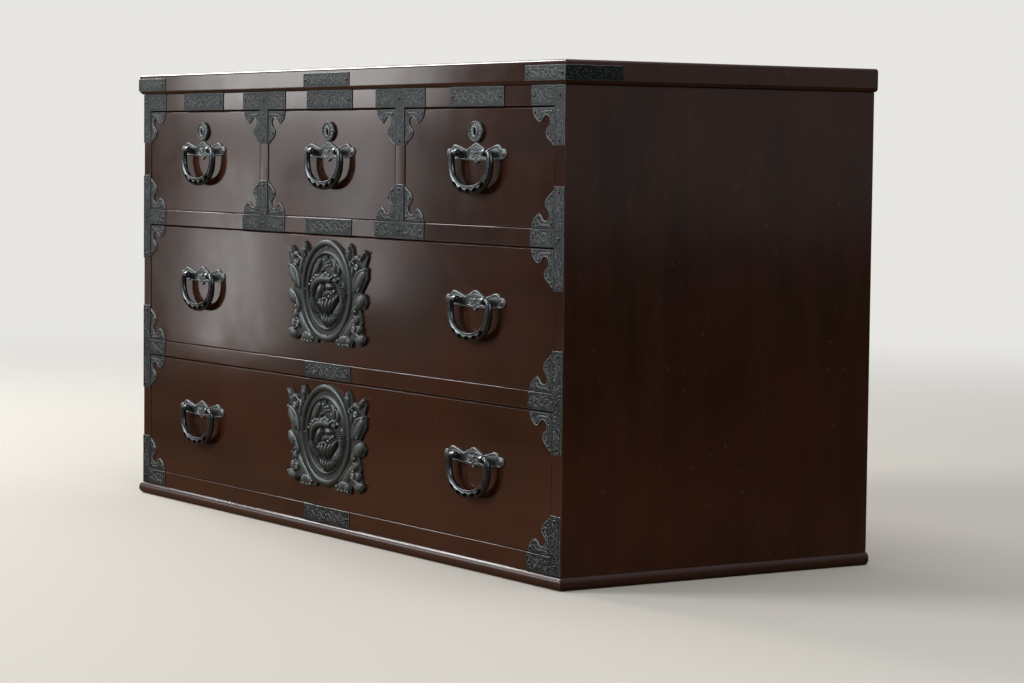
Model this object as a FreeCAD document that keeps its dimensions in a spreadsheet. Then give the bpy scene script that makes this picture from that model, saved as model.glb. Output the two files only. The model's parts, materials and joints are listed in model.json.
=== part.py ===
"""A clothing chest in lacquered wood with iron fittings: three small drawers over two wide ones.

X is to the right, Y to the back and Z up. The origin is the middle of the base board's underside.
"""

import FreeCAD, Part
import Sketcher
import math
import os

os.makedirs("parts", exist_ok=True)
doc = FreeCAD.newDocument("clothing_chest")

# Driving sizes, in millimetres
SIZES = {
    # Case
    "case_width": 1086,
    "case_depth": 450,
    "side_thickness": 21,
    "divider_thickness": 22,
    "back_thickness": 8,
    "dust_board_thickness": 8,
    "groove_depth": 6,
    "rail_depth": 45,
    "bottom_rail_height": 21.5,
    "rail_height": 21,
    "top_rail_height": 24,
    "wide_opening_height": 166,
    "small_opening_height": 140.5,
    "tenon_length": 12,
    "tenon_thickness": 9,
    "tenon_shoulder": 4,
    "tenon_setback": 14,
    # Top board and base board
    "top_thickness": 28,
    "top_side_overhang": 5.5,
    "top_front_overhang": 5,
    "top_back_overhang": 1,
    "top_upper_round": 4,
    "top_lower_round": 5,
    "base_thickness": 16,
    "base_side_overhang": 5.5,
    "base_front_overhang": 5,
    "base_round": 7,
    # Drawers
    "drawer_side_gap": 1,
    "drawer_top_gap": 1.5,
    "drawer_floor_gap": 0.3,
    "drawer_back_gap": 0.3,
    "drawer_recess": 0.8,
    "front_thickness": 20,
    "front_bevel": 1.2,
    "box_side_thickness": 9,
    "box_back_thickness": 9,
    "box_bottom_thickness": 6,
    "box_top_setback": 6,
    "lap_depth": 11,
    # Flat iron plates on the case
    "plate_thickness": 1.2,
    "plate_margin": 0.4,
    "rail_plate_length": 118,
    "corner_rail_leg": 70,
    "corner_stile_leg": 69,
    "divider_stem_rise": 46,
    "side_plate_rise": 49,
    "cap_front_leg": 82,
    "cap_side_leg": 80,
    "cap_height": 17.5,
    "cap_lift": 4.5,
    # Iron corner ornaments on the drawers
    "ornament_length": 45,
    "ornament_height": 44,
    "ornament_inset": 0.6,
    # Handles
    "small_handle_lift": 16,
    "wide_handle_offset": 356,
    "wide_handle_lift": 16,
    "handle_plate_half_width": 66,
    "handle_plate_height": 25,
    "handle_plate_thickness": 1.6,
    "eye_offset": 31,
    "eye_radius": 4.6,
    "eye_width": 5,
    "eye_leg_length": 9,
    "eye_leg_thickness": 1.5,
    "slot_clearance": 0.1,
    "pivot_standoff": 9,
    "pin_radius": 2.4,
    "pin_clearance": 0.08,
    "pin_head_length": 2,
    "pin_end_play": 0.4,
    "bail_half_width": 48,
    "bail_drop": 50,
    "bail_bottom_width": 10.5,
    "bail_arm_width": 7.5,
    "bail_thickness": 9,
    # Key plates and locks
    "key_plate_half_width": 16,
    "key_plate_half_height": 13,
    "key_plate_thickness": 2,
    "key_plate_lift": 25,
    "key_boss_radius": 7,
    "key_boss_height": 1.6,
    "key_slot_width": 3,
    "key_slot_height": 3.8,
    "lock_width": 46,
    "lock_height": 40,
    "lock_thickness": 11,
    "lock_top_setback": 2,
    # Round medallions on the wide drawers
    "medallion_radius": 66,
    "medallion_lift": 10.5,
    "medallion_half_width": 104,
    "medallion_half_height": 70,
    "medallion_field_thickness": 1.6,
    "medallion_band_thickness": 2.6,
    "medallion_rim_thickness": 4.6,
    "medallion_rim_width": 6,
    "medallion_band_width": 8,
    "leaf_thickness": 2.8,
    "blossom_radius": 24,
    "blossom_height": 8,
    "medallion_key_hole_lift": 43,
}

sheet = doc.addObject("Spreadsheet::Sheet", "Sizes")
for row, (alias, number) in enumerate(SIZES.items(), start=1):
    sheet.set(f"A{row}", alias)
    sheet.set(f"B{row}", str(number))
    sheet.setAlias(f"B{row}", alias)
doc.recompute()


class Size:
    """A length that knows both its value and the sheet formula that gives it."""

    def __init__(self, value, formula):
        self.value = value
        self.formula = formula

    def __add__(self, other):
        return Size(self.value + other.value, f"({self.formula} + {other.formula})")

    def __sub__(self, other):
        return Size(self.value - other.value, f"({self.formula} - {other.formula})")

    def __neg__(self):
        return Size(-self.value, f"(0 - {self.formula})")

    def __mul__(self, share):
        return Size(self.value * share, f"({self.formula} * {share:.6f})")

    def __truediv__(self, count):
        return Size(self.value / count, f"({self.formula} / {count})")


def cell(alias):
    """The sheet's own cell as a Size."""
    return Size(float(sheet.get(alias)), f"Sizes.{alias}")


ZERO = Size(0.0, "0")
TOUCH = 0.01
SHANK_SHARE = 0.42
UPRIGHT = FreeCAD.Vector(0, 0, 1)

# Places in the case that more than one piece follows
half_width = cell("case_width") / 2
inner_half = half_width - cell("side_thickness")
front_y = -cell("case_depth") / 2
back_y = cell("case_depth") / 2
panel_y = back_y - cell("back_thickness")
rail_back_y = front_y + cell("rail_depth")
floor_z = cell("base_thickness")
bottom_rail_top = floor_z + cell("bottom_rail_height")
lower_rail_low = bottom_rail_top + cell("wide_opening_height")
lower_rail_top = lower_rail_low + cell("rail_height")
middle_rail_low = lower_rail_top + cell("wide_opening_height")
middle_rail_top = middle_rail_low + cell("rail_height")
top_rail_low = middle_rail_top + cell("small_opening_height")
case_top = top_rail_low + cell("top_rail_height")
small_opening_width = (inner_half * 2 - cell("divider_thickness") * 2) / 3
divider_middle = small_opening_width / 2 + cell("divider_thickness") / 2
small_handle_step = small_opening_width + cell("divider_thickness")
face_y = front_y + cell("drawer_recess")
front_inner_y = face_y + cell("front_thickness")
box_back_y = panel_y - cell("drawer_back_gap")
pivot_y = face_y - cell("pivot_standoff")
shank_half_height = cell("eye_radius") * SHANK_SHARE
eye_inner_x = cell("eye_offset") - cell("eye_width") / 2
eye_outer_x = cell("eye_offset") + cell("eye_width") / 2 + cell("pin_end_play")

nodes = {}


def node(label, thing):
    """Gives a finished sub-part the name of its node."""
    thing.Label = label
    nodes[label] = thing


def place(thing, across, deep, up):
    """Ties the place of a sub-part to the sheet."""
    for axis, size in (("x", across), ("y", deep), ("z", up)):
        thing.setExpression(f"Placement.Base.{axis}", size.formula)


def block(label, across, deep, up):
    """A square-edged board between three pairs of limits."""
    board = doc.addObject("Part::Box", label)
    for side, (low, high) in (("Length", across), ("Width", deep), ("Height", up)):
        board.setExpression(side, (high - low).formula)
    place(board, across[0], deep[0], up[0])
    return board


def cut(label, base, tools):
    """The base with every tool taken away."""
    joined = tools[0]
    if len(tools) > 1:
        joined = doc.addObject("Part::MultiFuse", f"{label}_cutters")
        joined.Shapes = tools
    taken = doc.addObject("Part::Cut", label)
    taken.Base = base
    taken.Tool = joined
    return taken


def group(label, members):
    """Like pieces that share one node, each a solid of its own."""
    gathered = doc.addObject("Part::Compound", label)
    gathered.Links = members
    node(label, gathered)


def both_ways(size):
    """The limits that lie a size to each side of the middle."""
    return -size, size


def plane_of(body, role):
    """One of the body's own origin planes."""
    return next(plane for plane in body.Origin.OriginFeatures if plane.Role == role)


def new_body(label):
    """An empty body for a piece made from sketches."""
    return doc.addObject("PartDesign::Body", label)


def hold(rules, index, end, across, up):
    """Notes how one end of a stretch of the loop is held at its place in the sheet."""
    for kind, size, axis in (("DistanceX", across, -2), ("DistanceY", up, -1)):
        if size.value == 0:
            rules.append((Sketcher.Constraint("PointOnObject", index, end, axis), None))
        else:
            rules.append((Sketcher.Constraint(kind, -1, 1, index, end, size.value), size))


def apply_rules(sketch, rules):
    """Adds the noted constraints at once and ties each size to the sheet."""
    sketch.addConstraint([rule for rule, _ in rules])
    for number, (_, size) in enumerate(rules):
        if size:
            sketch.setExpression(f"Constraints[{number}]", size.formula)


def chord_of(start, end):
    """The straight distance between two points of a loop."""
    across, up = end[0] - start[0], end[1] - start[1]
    value = math.hypot(across.value, up.value)
    return Size(value, f"sqrt({across.formula}^2 + {up.formula}^2)")


def new_sketch(body, role):
    """An empty sketch on one of the body's origin planes."""
    sketch = body.newObject("Sketcher::SketchObject", f"{body.Name}_outline")
    sketch.AttachmentSupport = [(plane_of(body, role), "")]
    sketch.MapMode = "FlatFace"
    return sketch


def add_loop(sketch, rules, points):
    """A closed loop in a sketch through points of (across, up, rise), counter-clockwise.

    The stretch after a point is straight where its rise is zero. Otherwise it is an outward arc whose
    height over its chord is the rise times the chord.
    """
    start_index = sketch.GeometryCount
    pairs = list(zip(points, points[1:] + points[:1]))
    for start, end in pairs:
        first = FreeCAD.Vector(start[0].value, start[1].value, 0)
        last = FreeCAD.Vector(end[0].value, end[1].value, 0)
        if start[2]:
            outward = FreeCAD.Vector(last.y - first.y, first.x - last.x, 0)
            middle = (first + last) * 0.5 + outward * start[2]
            sketch.addGeometry(Part.Arc(first, middle, last), False)
        else:
            sketch.addGeometry(Part.LineSegment(first, last), False)
    for count, (start, end) in enumerate(pairs):
        index = start_index + count
        following = start_index + (count + 1) % len(points)
        rules.append((Sketcher.Constraint("Coincident", index, 2, following, 1), None))
        hold(rules, index, 1, start[0], start[1])
        rise = start[2]
        if rise:
            radius = chord_of(start, end) * (1 / (8 * rise) + rise / 2)
            rules.append((Sketcher.Constraint("Radius", index, radius.value), radius))


def outline(body, role, *loops):
    """A sketch of one closed loop, and of a second one inside it where the piece has a hole."""
    sketch = new_sketch(body, role)
    rules = []
    for points in loops:
        add_loop(sketch, rules, points)
    apply_rules(sketch, rules)
    return sketch


def pad(body, sketch, length, both_sides=False, inward=False):
    """Gives a sketch its thickness."""
    solid = body.newObject("PartDesign::Pad", f"{body.Name}_pad")
    solid.Profile = sketch
    solid.setExpression("Length", length.formula)
    if both_sides:
        solid.SideType = "Symmetric"
    solid.Reversed = inward
    return solid


def turned(body, sketch, axis):
    """Turns a sketch round one of its own axes."""
    solid = body.newObject("PartDesign::Revolution", f"{body.Name}_turned")
    solid.Profile = sketch
    solid.ReferenceAxis = (sketch, [axis])
    solid.Angle = 360
    return solid


def eased(body, base, kind, wanted, size):
    """Rounds or bevels the wanted edges of a feature by one size."""
    base.recompute(True)
    names = [f"Edge{i}" for i, edge in enumerate(base.Shape.Edges, start=1) if wanted(edge)]
    feature = body.newObject(f"PartDesign::{kind}", f"{body.Name}_{kind.lower()}")
    feature.Base = (base, names)
    feature.setExpression("Radius" if kind == "Fillet" else "Size", size.formula)
    return feature


def mirrored(points, across_sign, up_sign):
    """The same outline turned over to another corner, still counter-clockwise."""
    moved = [(x if across_sign > 0 else -x, z if up_sign > 0 else -z, rise) for x, z, rise in points]
    if across_sign * up_sign > 0:
        return moved
    count = len(moved)
    backwards = moved[::-1]
    return [(x, z, moved[(count - 2 - i) % count][2]) for i, (x, z, _) in enumerate(backwards)]


def scaled(shares, width, height):
    """An outline from shares of a width and a height."""
    return [(width * x, height * z, rise) for x, z, rise in shares]


def both_halves(body, features):
    """Repeats the right half of a piece on its left."""
    pair = body.newObject("PartDesign::Mirrored", f"{body.Name}_halves")
    pair.Originals = features
    pair.MirrorPlane = (plane_of(body, "YZ_Plane"), [""])
    pair.Refine = True
    body.Tip = pair
    return pair


# The carcass

mortise_y = (front_y + cell("tenon_setback"), front_y + cell("tenon_setback") + cell("tenon_thickness"))
RAILS = {
    "rail_bottom": (floor_z, bottom_rail_top),
    "rail_lower": (lower_rail_low, lower_rail_top),
    "rail_middle": (middle_rail_low, middle_rail_top),
    "rail_top": (top_rail_low, case_top),
}
DUST_BOARDS = {
    "floor_board": bottom_rail_top,
    "dust_board_lower": lower_rail_top,
    "dust_board_middle": middle_rail_top,
}


def rail(label, low, high):
    """A front rail with a stub tenon at each end."""
    body = block(f"{label}_face", both_ways(inner_half), (front_y, rail_back_y), (low, high))
    reach = inner_half + cell("tenon_length")
    shoulder = cell("tenon_shoulder")
    tenon = block(f"{label}_tenon", both_ways(reach), mortise_y, (low + shoulder, high - shoulder))
    whole = doc.addObject("Part::MultiFuse", label)
    whole.Shapes = [body, tenon]
    whole.Refine = True
    node(label, whole)


def side(label, sign):
    """A side board, mortised for the rails, grooved for the dust boards and rebated for the back."""
    outer = half_width if sign > 0 else -half_width
    inner = inner_half if sign > 0 else -inner_half
    tenon_end = inner_half + cell("tenon_length")
    groove_end = inner_half + cell("groove_depth")

    def reach(depth):
        return (inner, depth) if sign > 0 else (-depth, inner)

    whole = (inner, outer) if sign > 0 else (outer, inner)
    board = block(f"{label}_board", whole, (front_y, back_y), (floor_z, case_top))
    shoulder = cell("tenon_shoulder")
    cutters = []
    for name, (low, high) in RAILS.items():
        heights = (low + shoulder, high - shoulder)
        cutters.append(block(f"{label}_{name}_mortise", reach(tenon_end), mortise_y, heights))
    for name, top in DUST_BOARDS.items():
        heights = (top - cell("dust_board_thickness"), top)
        depths = (rail_back_y, panel_y)
        cutters.append(block(f"{label}_{name}_groove", reach(groove_end), depths, heights))
    rebate = block(f"{label}_rebate", reach(groove_end), (panel_y, back_y), (floor_z, case_top))
    cutters.append(rebate)
    node(label, cut(label, board, cutters))


def dust_board(label, top):
    """A thin board that closes off the space under a drawer and carries it."""
    reach = inner_half + cell("groove_depth")
    heights = (top - cell("dust_board_thickness"), top)
    return block(label, both_ways(reach), (rail_back_y, panel_y), heights)


def divider(label, sign):
    """An upright between two small drawers, notched over the top rail."""
    middle = divider_middle if sign > 0 else -divider_middle
    half = cell("divider_thickness") / 2
    across = (middle - half, middle + half)
    board = block(f"{label}_board", across, (front_y, panel_y), (middle_rail_top, case_top))
    notch = block(f"{label}_notch", across, (front_y, rail_back_y), (top_rail_low, case_top))
    node(label, cut(label, board, [notch]))


def moulded_board(label, low, thickness, side_over, front_over, back_over, rounds):
    """A board that overhangs the case, with its upper and lower edges rounded at the front and sides."""
    body = new_body(label)
    reach = half_width + side_over
    front, back = front_y - front_over, back_y + back_over
    corners = [(-reach, front, 0), (reach, front, 0), (reach, back, 0), (-reach, back, 0)]
    solid = pad(body, outline(body, "XY_Plane", corners), thickness)
    for upper, radius in rounds:
        height = thickness.value if upper else 0

        def wanted(edge):
            flat = all(abs(vertex.Z - height) < TOUCH for vertex in edge.Vertexes)
            return flat and edge.CenterOfMass.y < back.value - TOUCH

        solid = eased(body, solid, "Fillet", wanted, radius)
    place(body, ZERO, ZERO, low)
    node(label, body)


# Iron plates on the case

def flat_plate(label, points, deep=front_y):
    """A sheet iron plate that lies on a front face."""
    body = new_body(label)
    pad(body, outline(body, "XZ_Plane", points), cell("plate_thickness"))
    place(body, ZERO, deep, ZERO)
    return body


def polygon(corners):
    """Straight-sided points from pairs."""
    return [(x, z, 0) for x, z in corners]


def rail_plates():
    """The oblong plates on the rails and one on the top board's front edge."""
    margin = cell("plate_margin")
    half = cell("rail_plate_length") / 2
    spots = [
        ("rail_plate_top_left", -small_handle_step, top_rail_low, case_top),
        ("rail_plate_top", ZERO, top_rail_low, case_top),
        ("rail_plate_top_right", small_handle_step, top_rail_low, case_top),
        ("rail_plate_middle", ZERO, middle_rail_low, middle_rail_top),
        ("rail_plate_lower", ZERO, lower_rail_low, lower_rail_top),
        ("rail_plate_bottom", ZERO, floor_z, bottom_rail_top),
    ]
    plates = []
    for label, middle, low, high in spots:
        left, right = middle - half, middle + half
        low, high = low + margin, high - margin
        points = polygon([(left, low), (right, low), (right, high), (left, high)])
        plates.append(flat_plate(label, points))
    low = case_top + cell("cap_lift")
    high = low + cell("cap_height")
    points = polygon([(-half, low), (half, low), (half, high), (-half, high)])
    plates.append(flat_plate("top_board_plate", points, front_y - cell("top_front_overhang")))
    group("rail_plates", plates)


def corner_plate(label, sign, upper):
    """An L-shaped plate over the joint of a side board and the top or bottom rail."""
    margin = cell("plate_margin")
    outer = half_width - margin
    rail_end = half_width - cell("corner_rail_leg")
    stile = inner_half + margin
    if upper:
        edge, low = case_top - margin, top_rail_low + margin
        reach = case_top - cell("corner_stile_leg")
        corners = [
            (outer, edge), (rail_end, edge), (rail_end, low), (stile, low), (stile, reach), (outer, reach),
        ]
    else:
        edge, low = floor_z + margin, bottom_rail_top - margin
        reach = floor_z + cell("corner_stile_leg")
        corners = [
            (outer, reach), (stile, reach), (stile, low), (rail_end, low), (rail_end, edge), (outer, edge),
        ]
    return flat_plate(label, mirrored(polygon(corners), sign, 1))


def side_plate(label, sign, low, high):
    """A T-shaped plate over the joint of a side board and a rail between drawers."""
    margin = cell("plate_margin")
    outer = half_width - margin
    rail_end = half_width - cell("corner_rail_leg")
    stile = inner_half + margin
    lower, upper = low - cell("side_plate_rise"), high + cell("side_plate_rise")
    low, high = low + margin, high - margin
    corners = [
        (outer, lower), (outer, upper), (stile, upper), (stile, high),
        (rail_end, high), (rail_end, low), (stile, low), (stile, lower),
    ]
    return flat_plate(label, mirrored(polygon(corners), sign, 1))


def divider_plate(label, sign, upper):
    """A T-shaped plate over the joint of a divider and a rail."""
    margin = cell("plate_margin")
    middle = divider_middle if sign > 0 else -divider_middle
    half = cell("rail_plate_length") / 2
    stem = cell("divider_thickness") / 2 - margin
    rise = cell("divider_stem_rise")
    if upper:
        edge, shoulder, end = case_top - margin, top_rail_low + margin, top_rail_low - rise
    else:
        edge, shoulder, end = middle_rail_low + margin, middle_rail_top - margin, middle_rail_top + rise
    right = [(stem, end), (stem, shoulder), (half, shoulder), (half, edge)]
    corners = right + [(-x, z) for x, z in right[::-1]]
    if not upper:
        corners = corners[::-1]
    return flat_plate(label, polygon([(middle + x, z) for x, z in corners]))


def corner_cap(label, sign):
    """A strip of sheet iron bent round a front corner of the top board."""
    body = new_body(label)
    thickness = cell("plate_thickness")
    side_x = half_width + cell("top_side_overhang")
    face_y = front_y - cell("top_front_overhang")
    front_end = side_x - cell("cap_front_leg")
    side_end = face_y + cell("cap_side_leg")
    corners = [
        (front_end, face_y - thickness), (side_x + thickness, face_y - thickness),
        (side_x + thickness, side_end), (side_x, side_end), (side_x, face_y), (front_end, face_y),
    ]
    points = mirrored(polygon(corners), sign, 1)
    pad(body, outline(body, "XY_Plane", points), cell("cap_height"))
    place(body, ZERO, ZERO, case_top + cell("cap_lift"))
    return body


# Fittings of the drawers

# Shares of the ornament's length along the rail and of its height, with its round bite in the middle
ORNAMENT_SHARES = [
    (0, 0, 0), (1, 0, 0), (0.95, 0.2, 0), (0.8, 0.33, 0), (0.66, 0.39, 0), (0.55, 0.32, 0), (0.44, 0.2, 0),
    (0.3, 0.19, 0), (0.2, 0.29, 0), (0.19, 0.42, 0), (0.38, 0.56, 0), (0.41, 0.66, 0), (0.35, 0.77, 0),
    (0.18, 0.88, 0), (0, 1, 0),
]

# Shares of the handle plate's half width and of its height, right half from the bottom point up:
# the pendant, the lower edge, the wing's tip, its round corner and the crest in the middle
HANDLE_PLATE_SHARES = [
    (0, -0.54, 0), (0.06, -0.39, 0), (0.3, -0.36, 0), (0.85, -0.3, 0), (0.94, -0.22, 0), (1, -0.04, 0),
    (0.985, 0.1, 0), (0.93, 0.19, 0), (0.85, 0.19, 0), (0.8, 0.3, 0), (0.73, 0.39, 0), (0.66, 0.38, 0),
    (0.3, 0.13, 0), (0.26, 0.26, 0), (0.18, 0.37, 0), (0.09, 0.4, 0), (0, 0.47, 0),
]

# Shares of the medallion's half width and half height: the right leaves from the bottom up
LEAF_SHARES = [
    (0.2, -0.88, 0), (0.25, -0.98, 0), (0.44, -1, 0), (0.62, -1, 0), (0.66, -0.84, 0), (0.8, -0.96, 0.16),
    (0.95, -0.8, 0), (0.82, -0.62, 0), (0.88, -0.53, 0), (0.86, -0.44, 0), (0.83, -0.3, 0), (0.93, -0.27, 0),
    (0.99, -0.14, 0.16), (0.84, 0.01, 0), (0.99, 0.26, 0), (1, 0.46, 0), (0.94, 0.5, 0), (1, 0.66, 0.14),
    (0.9, 0.8, 0), (0.76, 0.64, 0), (0.66, 0.68, 0), (0.64, 0.8, 0), (0.56, 0.9, 0), (0.44, 0.66, 0),
]

# The key plate's lobes, with the depth of the notches between them as a share of its half size
KEY_PLATE_LOBES = 8
KEY_PLATE_NOTCH_SHARE = 0.08

# Shares of the eye's radius: its forged outline from the top of the shank round the front to the middle.
# The strap is bent round the pin in so many flats.
EYE_SHARES = [(0.9, 0.42), (0.42, 0.9), (-0.42, 0.9), (-0.95, 0.4)]
EYE_FLATS = 8

# Places on the medallion's dome, as shares of the blossom's radius and height
DOME_SHARES = [(1, 0), (0.6, 1), (0, 1)]
LOCK_CASE_SHARE = 0.75

# Where the leaves spring from the rim, in degrees from the level, and the straight cuts between
LEAF_ROOT_TURNS = (45, -70)
LEAF_ROOT_CUTS = 4

# The bail's widest place as a share of its drop. It has so many lobes on each side, ended by notches
# that take a share of its size. Its round stretches are cut in so many flats.
BAIL_WAIST_SHARE = 0.38
BAIL_LOBES = 3
BAIL_NOTCH_SHARE = 0.05
BAIL_BOWL_FLATS = 5
BAIL_SHOULDER_FLATS = 3


def ornament(label, corner, across_sign, up_sign):
    """A scalloped iron plate for one corner of a drawer front."""
    body = new_body(label)
    shape = scaled(ORNAMENT_SHARES, cell("ornament_length"), cell("ornament_height"))
    sketch = outline(body, "XZ_Plane", mirrored(shape, across_sign, up_sign))
    pad(body, sketch, cell("plate_thickness"))
    place(body, corner[0], face_y, corner[1])
    return body


def handle_plate(label, across, up, slots):
    """The bat-shaped plate behind a handle, with a slot for each eye."""
    body = new_body(label)
    shape = scaled(HANDLE_PLATE_SHARES, cell("handle_plate_half_width"), cell("handle_plate_height"))
    half = pad(body, outline(body, "XZ_Plane", shape), cell("handle_plate_thickness"))
    both_halves(body, [half])
    place(body, across, face_y, up)
    return cut(f"{label}_slotted", body, slots)


def eye(label, across, up):
    """A strap of iron bent round the pin of a bail, pushed through the front and clinched inside."""
    body = new_body(label)
    radius = cell("eye_radius")
    half = shank_half_height
    inside = cell("pivot_standoff") + cell("front_thickness")
    clinched = inside + cell("eye_leg_thickness")
    leg = half + cell("eye_leg_length")
    upper = [(radius * forward, radius * rise) for forward, rise in EYE_SHARES]
    upper = [(inside, half), *upper]
    legs = [(inside, -leg), (clinched, -leg), (clinched, leg), (inside, leg)]
    points = polygon(upper + [(y, -z) for y, z in upper[::-1]] + legs)
    bore = (cell("pin_radius") + cell("pin_clearance")) * (1 / math.cos(math.pi / EYE_FLATS))
    turns = [(count + 0.5) * 2 * math.pi / EYE_FLATS for count in range(EYE_FLATS)]
    hole = [(bore * math.cos(turn), bore * math.sin(turn), 0) for turn in turns]
    pad(body, outline(body, "YZ_Plane", points, hole), cell("eye_width"), both_sides=True)
    place(body, across, pivot_y, up)
    return body


def eye_slot(label, across, up):
    """The cutter for the slot that an eye's shank passes through."""
    clear = cell("slot_clearance")
    wide = cell("eye_width") / 2 + clear
    tall = shank_half_height + clear
    depths = (face_y - cell("handle_plate_thickness") - clear, front_inner_y + clear)
    return block(label, (across - wide, across + wide), depths, (up - tall, up + tall))


def bail_half():
    """The right half of a bail's crescent, lobed along the underside, round the line of its pins."""
    half, drop, arm = cell("bail_half_width"), cell("bail_drop"), cell("bail_arm_width")
    waist = drop * BAIL_WAIST_SHARE
    end = eye_outer_x
    flat = math.radians(90 / BAIL_BOWL_FLATS)
    bend = math.radians(90 / BAIL_SHOULDER_FLATS)

    def bowl(turn, wide, deep):
        """A place below the waist, turned up from the bottom."""
        return wide * math.sin(turn), -waist - (deep - waist) * math.cos(turn), 0

    def shoulder(turn, wide, top):
        """A place between the waist and the pins, turned up from the waist."""
        return end + (wide - end) * math.cos(turn), -waist + (waist + top) * math.sin(turn), 0

    notch = 1 - BAIL_NOTCH_SHARE
    points = [(ZERO, -drop * notch, 0)]
    for lobe in range(BAIL_LOBES):
        points.append(bowl((lobe + 0.5) * flat, half, drop))
        points.append(bowl((lobe + 1) * flat, half * notch, drop * notch))
    points += [bowl(count * flat, half, drop) for count in range(BAIL_LOBES + 1, BAIL_BOWL_FLATS + 1)]
    points += [shoulder(count * bend, half, arm / 2) for count in range(1, BAIL_SHOULDER_FLATS + 1)]
    inner_half, inner_drop = half - arm, drop - cell("bail_bottom_width")
    for count in range(BAIL_SHOULDER_FLATS, 0, -1):
        points.append(shoulder(count * bend, inner_half, -(arm / 2)))
    for count in range(BAIL_BOWL_FLATS, 0, -1):
        points.append(bowl(count * flat, inner_half, inner_drop))
    points.append((ZERO, -inner_drop, 0))
    return points


def bail(label, across, up):
    """A forged drop handle with a headed pin at each end, hung in its two eyes."""
    body = new_body(label)
    crescent = pad(body, outline(body, "XZ_Plane", bail_half()), cell("bail_thickness"), both_sides=True)
    head = eye_inner_x - cell("pin_end_play") - cell("pin_head_length")
    root = eye_outer_x + cell("bail_arm_width") / 4
    radius = cell("pin_radius")
    profile = polygon([(head, ZERO), (root, ZERO), (root, radius), (head, radius)])
    pin = turned(body, outline(body, "XZ_Plane", profile), "H_Axis")
    both_halves(body, [crescent, pin])
    place(body, across, pivot_y, up)
    node(label, body)


def key_cutter(label, across, up, start, end):
    """The cutter for the slot that the key passes through."""
    wide, tall = cell("key_slot_width") / 2, cell("key_slot_height") / 2
    return block(label, (across - wide, across + wide), (start, end), (up - tall, up + tall))


def lobed_oval(wide, tall):
    """A lobed oval's points, with a shallow notch between each two lobes."""
    points = []
    for step in range(2 * KEY_PLATE_LOBES):
        turn = math.pi * step / KEY_PLATE_LOBES
        reach = 1 - KEY_PLATE_NOTCH_SHARE * (step % 2)
        points.append((wide * round(math.cos(turn) * reach, 6), tall * round(math.sin(turn) * reach, 6), 0))
    return points


def key_plate(label, across, up, drill):
    """A lobed oval plate with a raised flower round the key hole."""
    body = new_body(label)
    wide, tall = cell("key_plate_half_width"), cell("key_plate_half_height")
    thickness = cell("key_plate_thickness")
    pad(body, outline(body, "XZ_Plane", lobed_oval(wide, tall)), thickness)
    boss = cell("key_boss_radius")
    pad(body, outline(body, "XZ_Plane", lobed_oval(boss, boss)), thickness + cell("key_boss_height"))
    place(body, across, face_y, up)
    node(label, cut(f"{label}_slotted", body, [drill]))


def leaf_root(radius):
    """The leaves' edge inside the outer rim, from the top down."""
    high, low = LEAF_ROOT_TURNS
    step = (low - high) / LEAF_ROOT_CUTS
    turns = [math.radians(high + step * count) for count in range(LEAF_ROOT_CUTS + 1)]
    return [(radius * math.cos(turn), radius * math.sin(turn), 0) for turn in turns]


def medallion(label, across, up, drill):
    """A cast round plate in two raised rims, with a domed blossom and leaves at both sides."""
    body = new_body(label)
    wide, tall = cell("medallion_half_width"), cell("medallion_half_height")
    outer = cell("medallion_radius")
    rim, strip = cell("medallion_rim_width"), cell("medallion_band_width")
    field, band = cell("medallion_field_thickness"), cell("medallion_band_thickness")
    crown = cell("medallion_rim_thickness")
    inner = outer - rim - strip
    profile = [
        (ZERO, ZERO), (ZERO, outer), (-crown, outer - rim / 3), (-band, outer - rim), (-band, inner),
        (-crown, inner - rim / 2), (-field, inner - rim),
    ]
    radius, height = cell("blossom_radius"), cell("blossom_height")
    profile += [(-field - height * rise, radius * reach) for reach, rise in DOME_SHARES]
    turned(body, outline(body, "YZ_Plane", polygon(profile)), "H_Axis")
    leaves = scaled(LEAF_SHARES, wide, tall) + leaf_root(outer - rim / 3)
    for sign in (1, -1):
        pad(body, outline(body, "XZ_Plane", mirrored(leaves, sign, 1)), cell("leaf_thickness"))
    place(body, across, face_y, up)
    node(label, cut(f"{label}_slotted", body, [drill]))


def lock(label, across, top, drill):
    """A lock case on its plate, screwed to the inside of a drawer front."""
    half_plate, half_case = cell("lock_width") / 2, cell("lock_width") * LOCK_CASE_SHARE / 2
    plate_z = (top - cell("lock_height"), top)
    case_z = (top - cell("lock_height") * LOCK_CASE_SHARE, top)
    plate_y = (front_inner_y, front_inner_y + cell("plate_thickness"))
    case_y = (front_inner_y, front_inner_y + cell("lock_thickness"))
    whole = doc.addObject("Part::MultiFuse", f"{label}_whole")
    whole.Shapes = [
        block(f"{label}_plate", (across - half_plate, across + half_plate), plate_y, plate_z),
        block(f"{label}_case", (across - half_case, across + half_case), case_y, case_z),
    ]
    whole.Refine = True
    node(label, cut(f"{label}_slotted", whole, [drill]))


def drawer_front(label, across, up, cutters):
    """A drawer front, bevelled round its face and lapped for the box."""
    body = new_body(f"{label}_board")
    (left, right), (low, high) = across, up
    corners = [(left, low, 0), (right, low, 0), (right, high, 0), (left, high, 0)]
    solid = pad(body, outline(body, "XZ_Plane", corners), cell("front_thickness"), inward=True)

    def wanted(edge):
        return all(abs(vertex.Y) < TOUCH for vertex in edge.Vertexes)

    eased(body, solid, "Chamfer", wanted, cell("front_bevel"))
    place(body, ZERO, face_y, ZERO)
    lap = (front_inner_y - cell("lap_depth"), front_inner_y)
    sides = cell("box_side_thickness")
    laps = [
        block(f"{label}_lap_left", (left, left + sides), lap, up),
        block(f"{label}_lap_right", (right - sides, right), lap, up),
        block(f"{label}_lap_bottom", across, lap, (low, low + cell("box_bottom_thickness"))),
    ]
    node(label, cut(label, body, laps + cutters))


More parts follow.
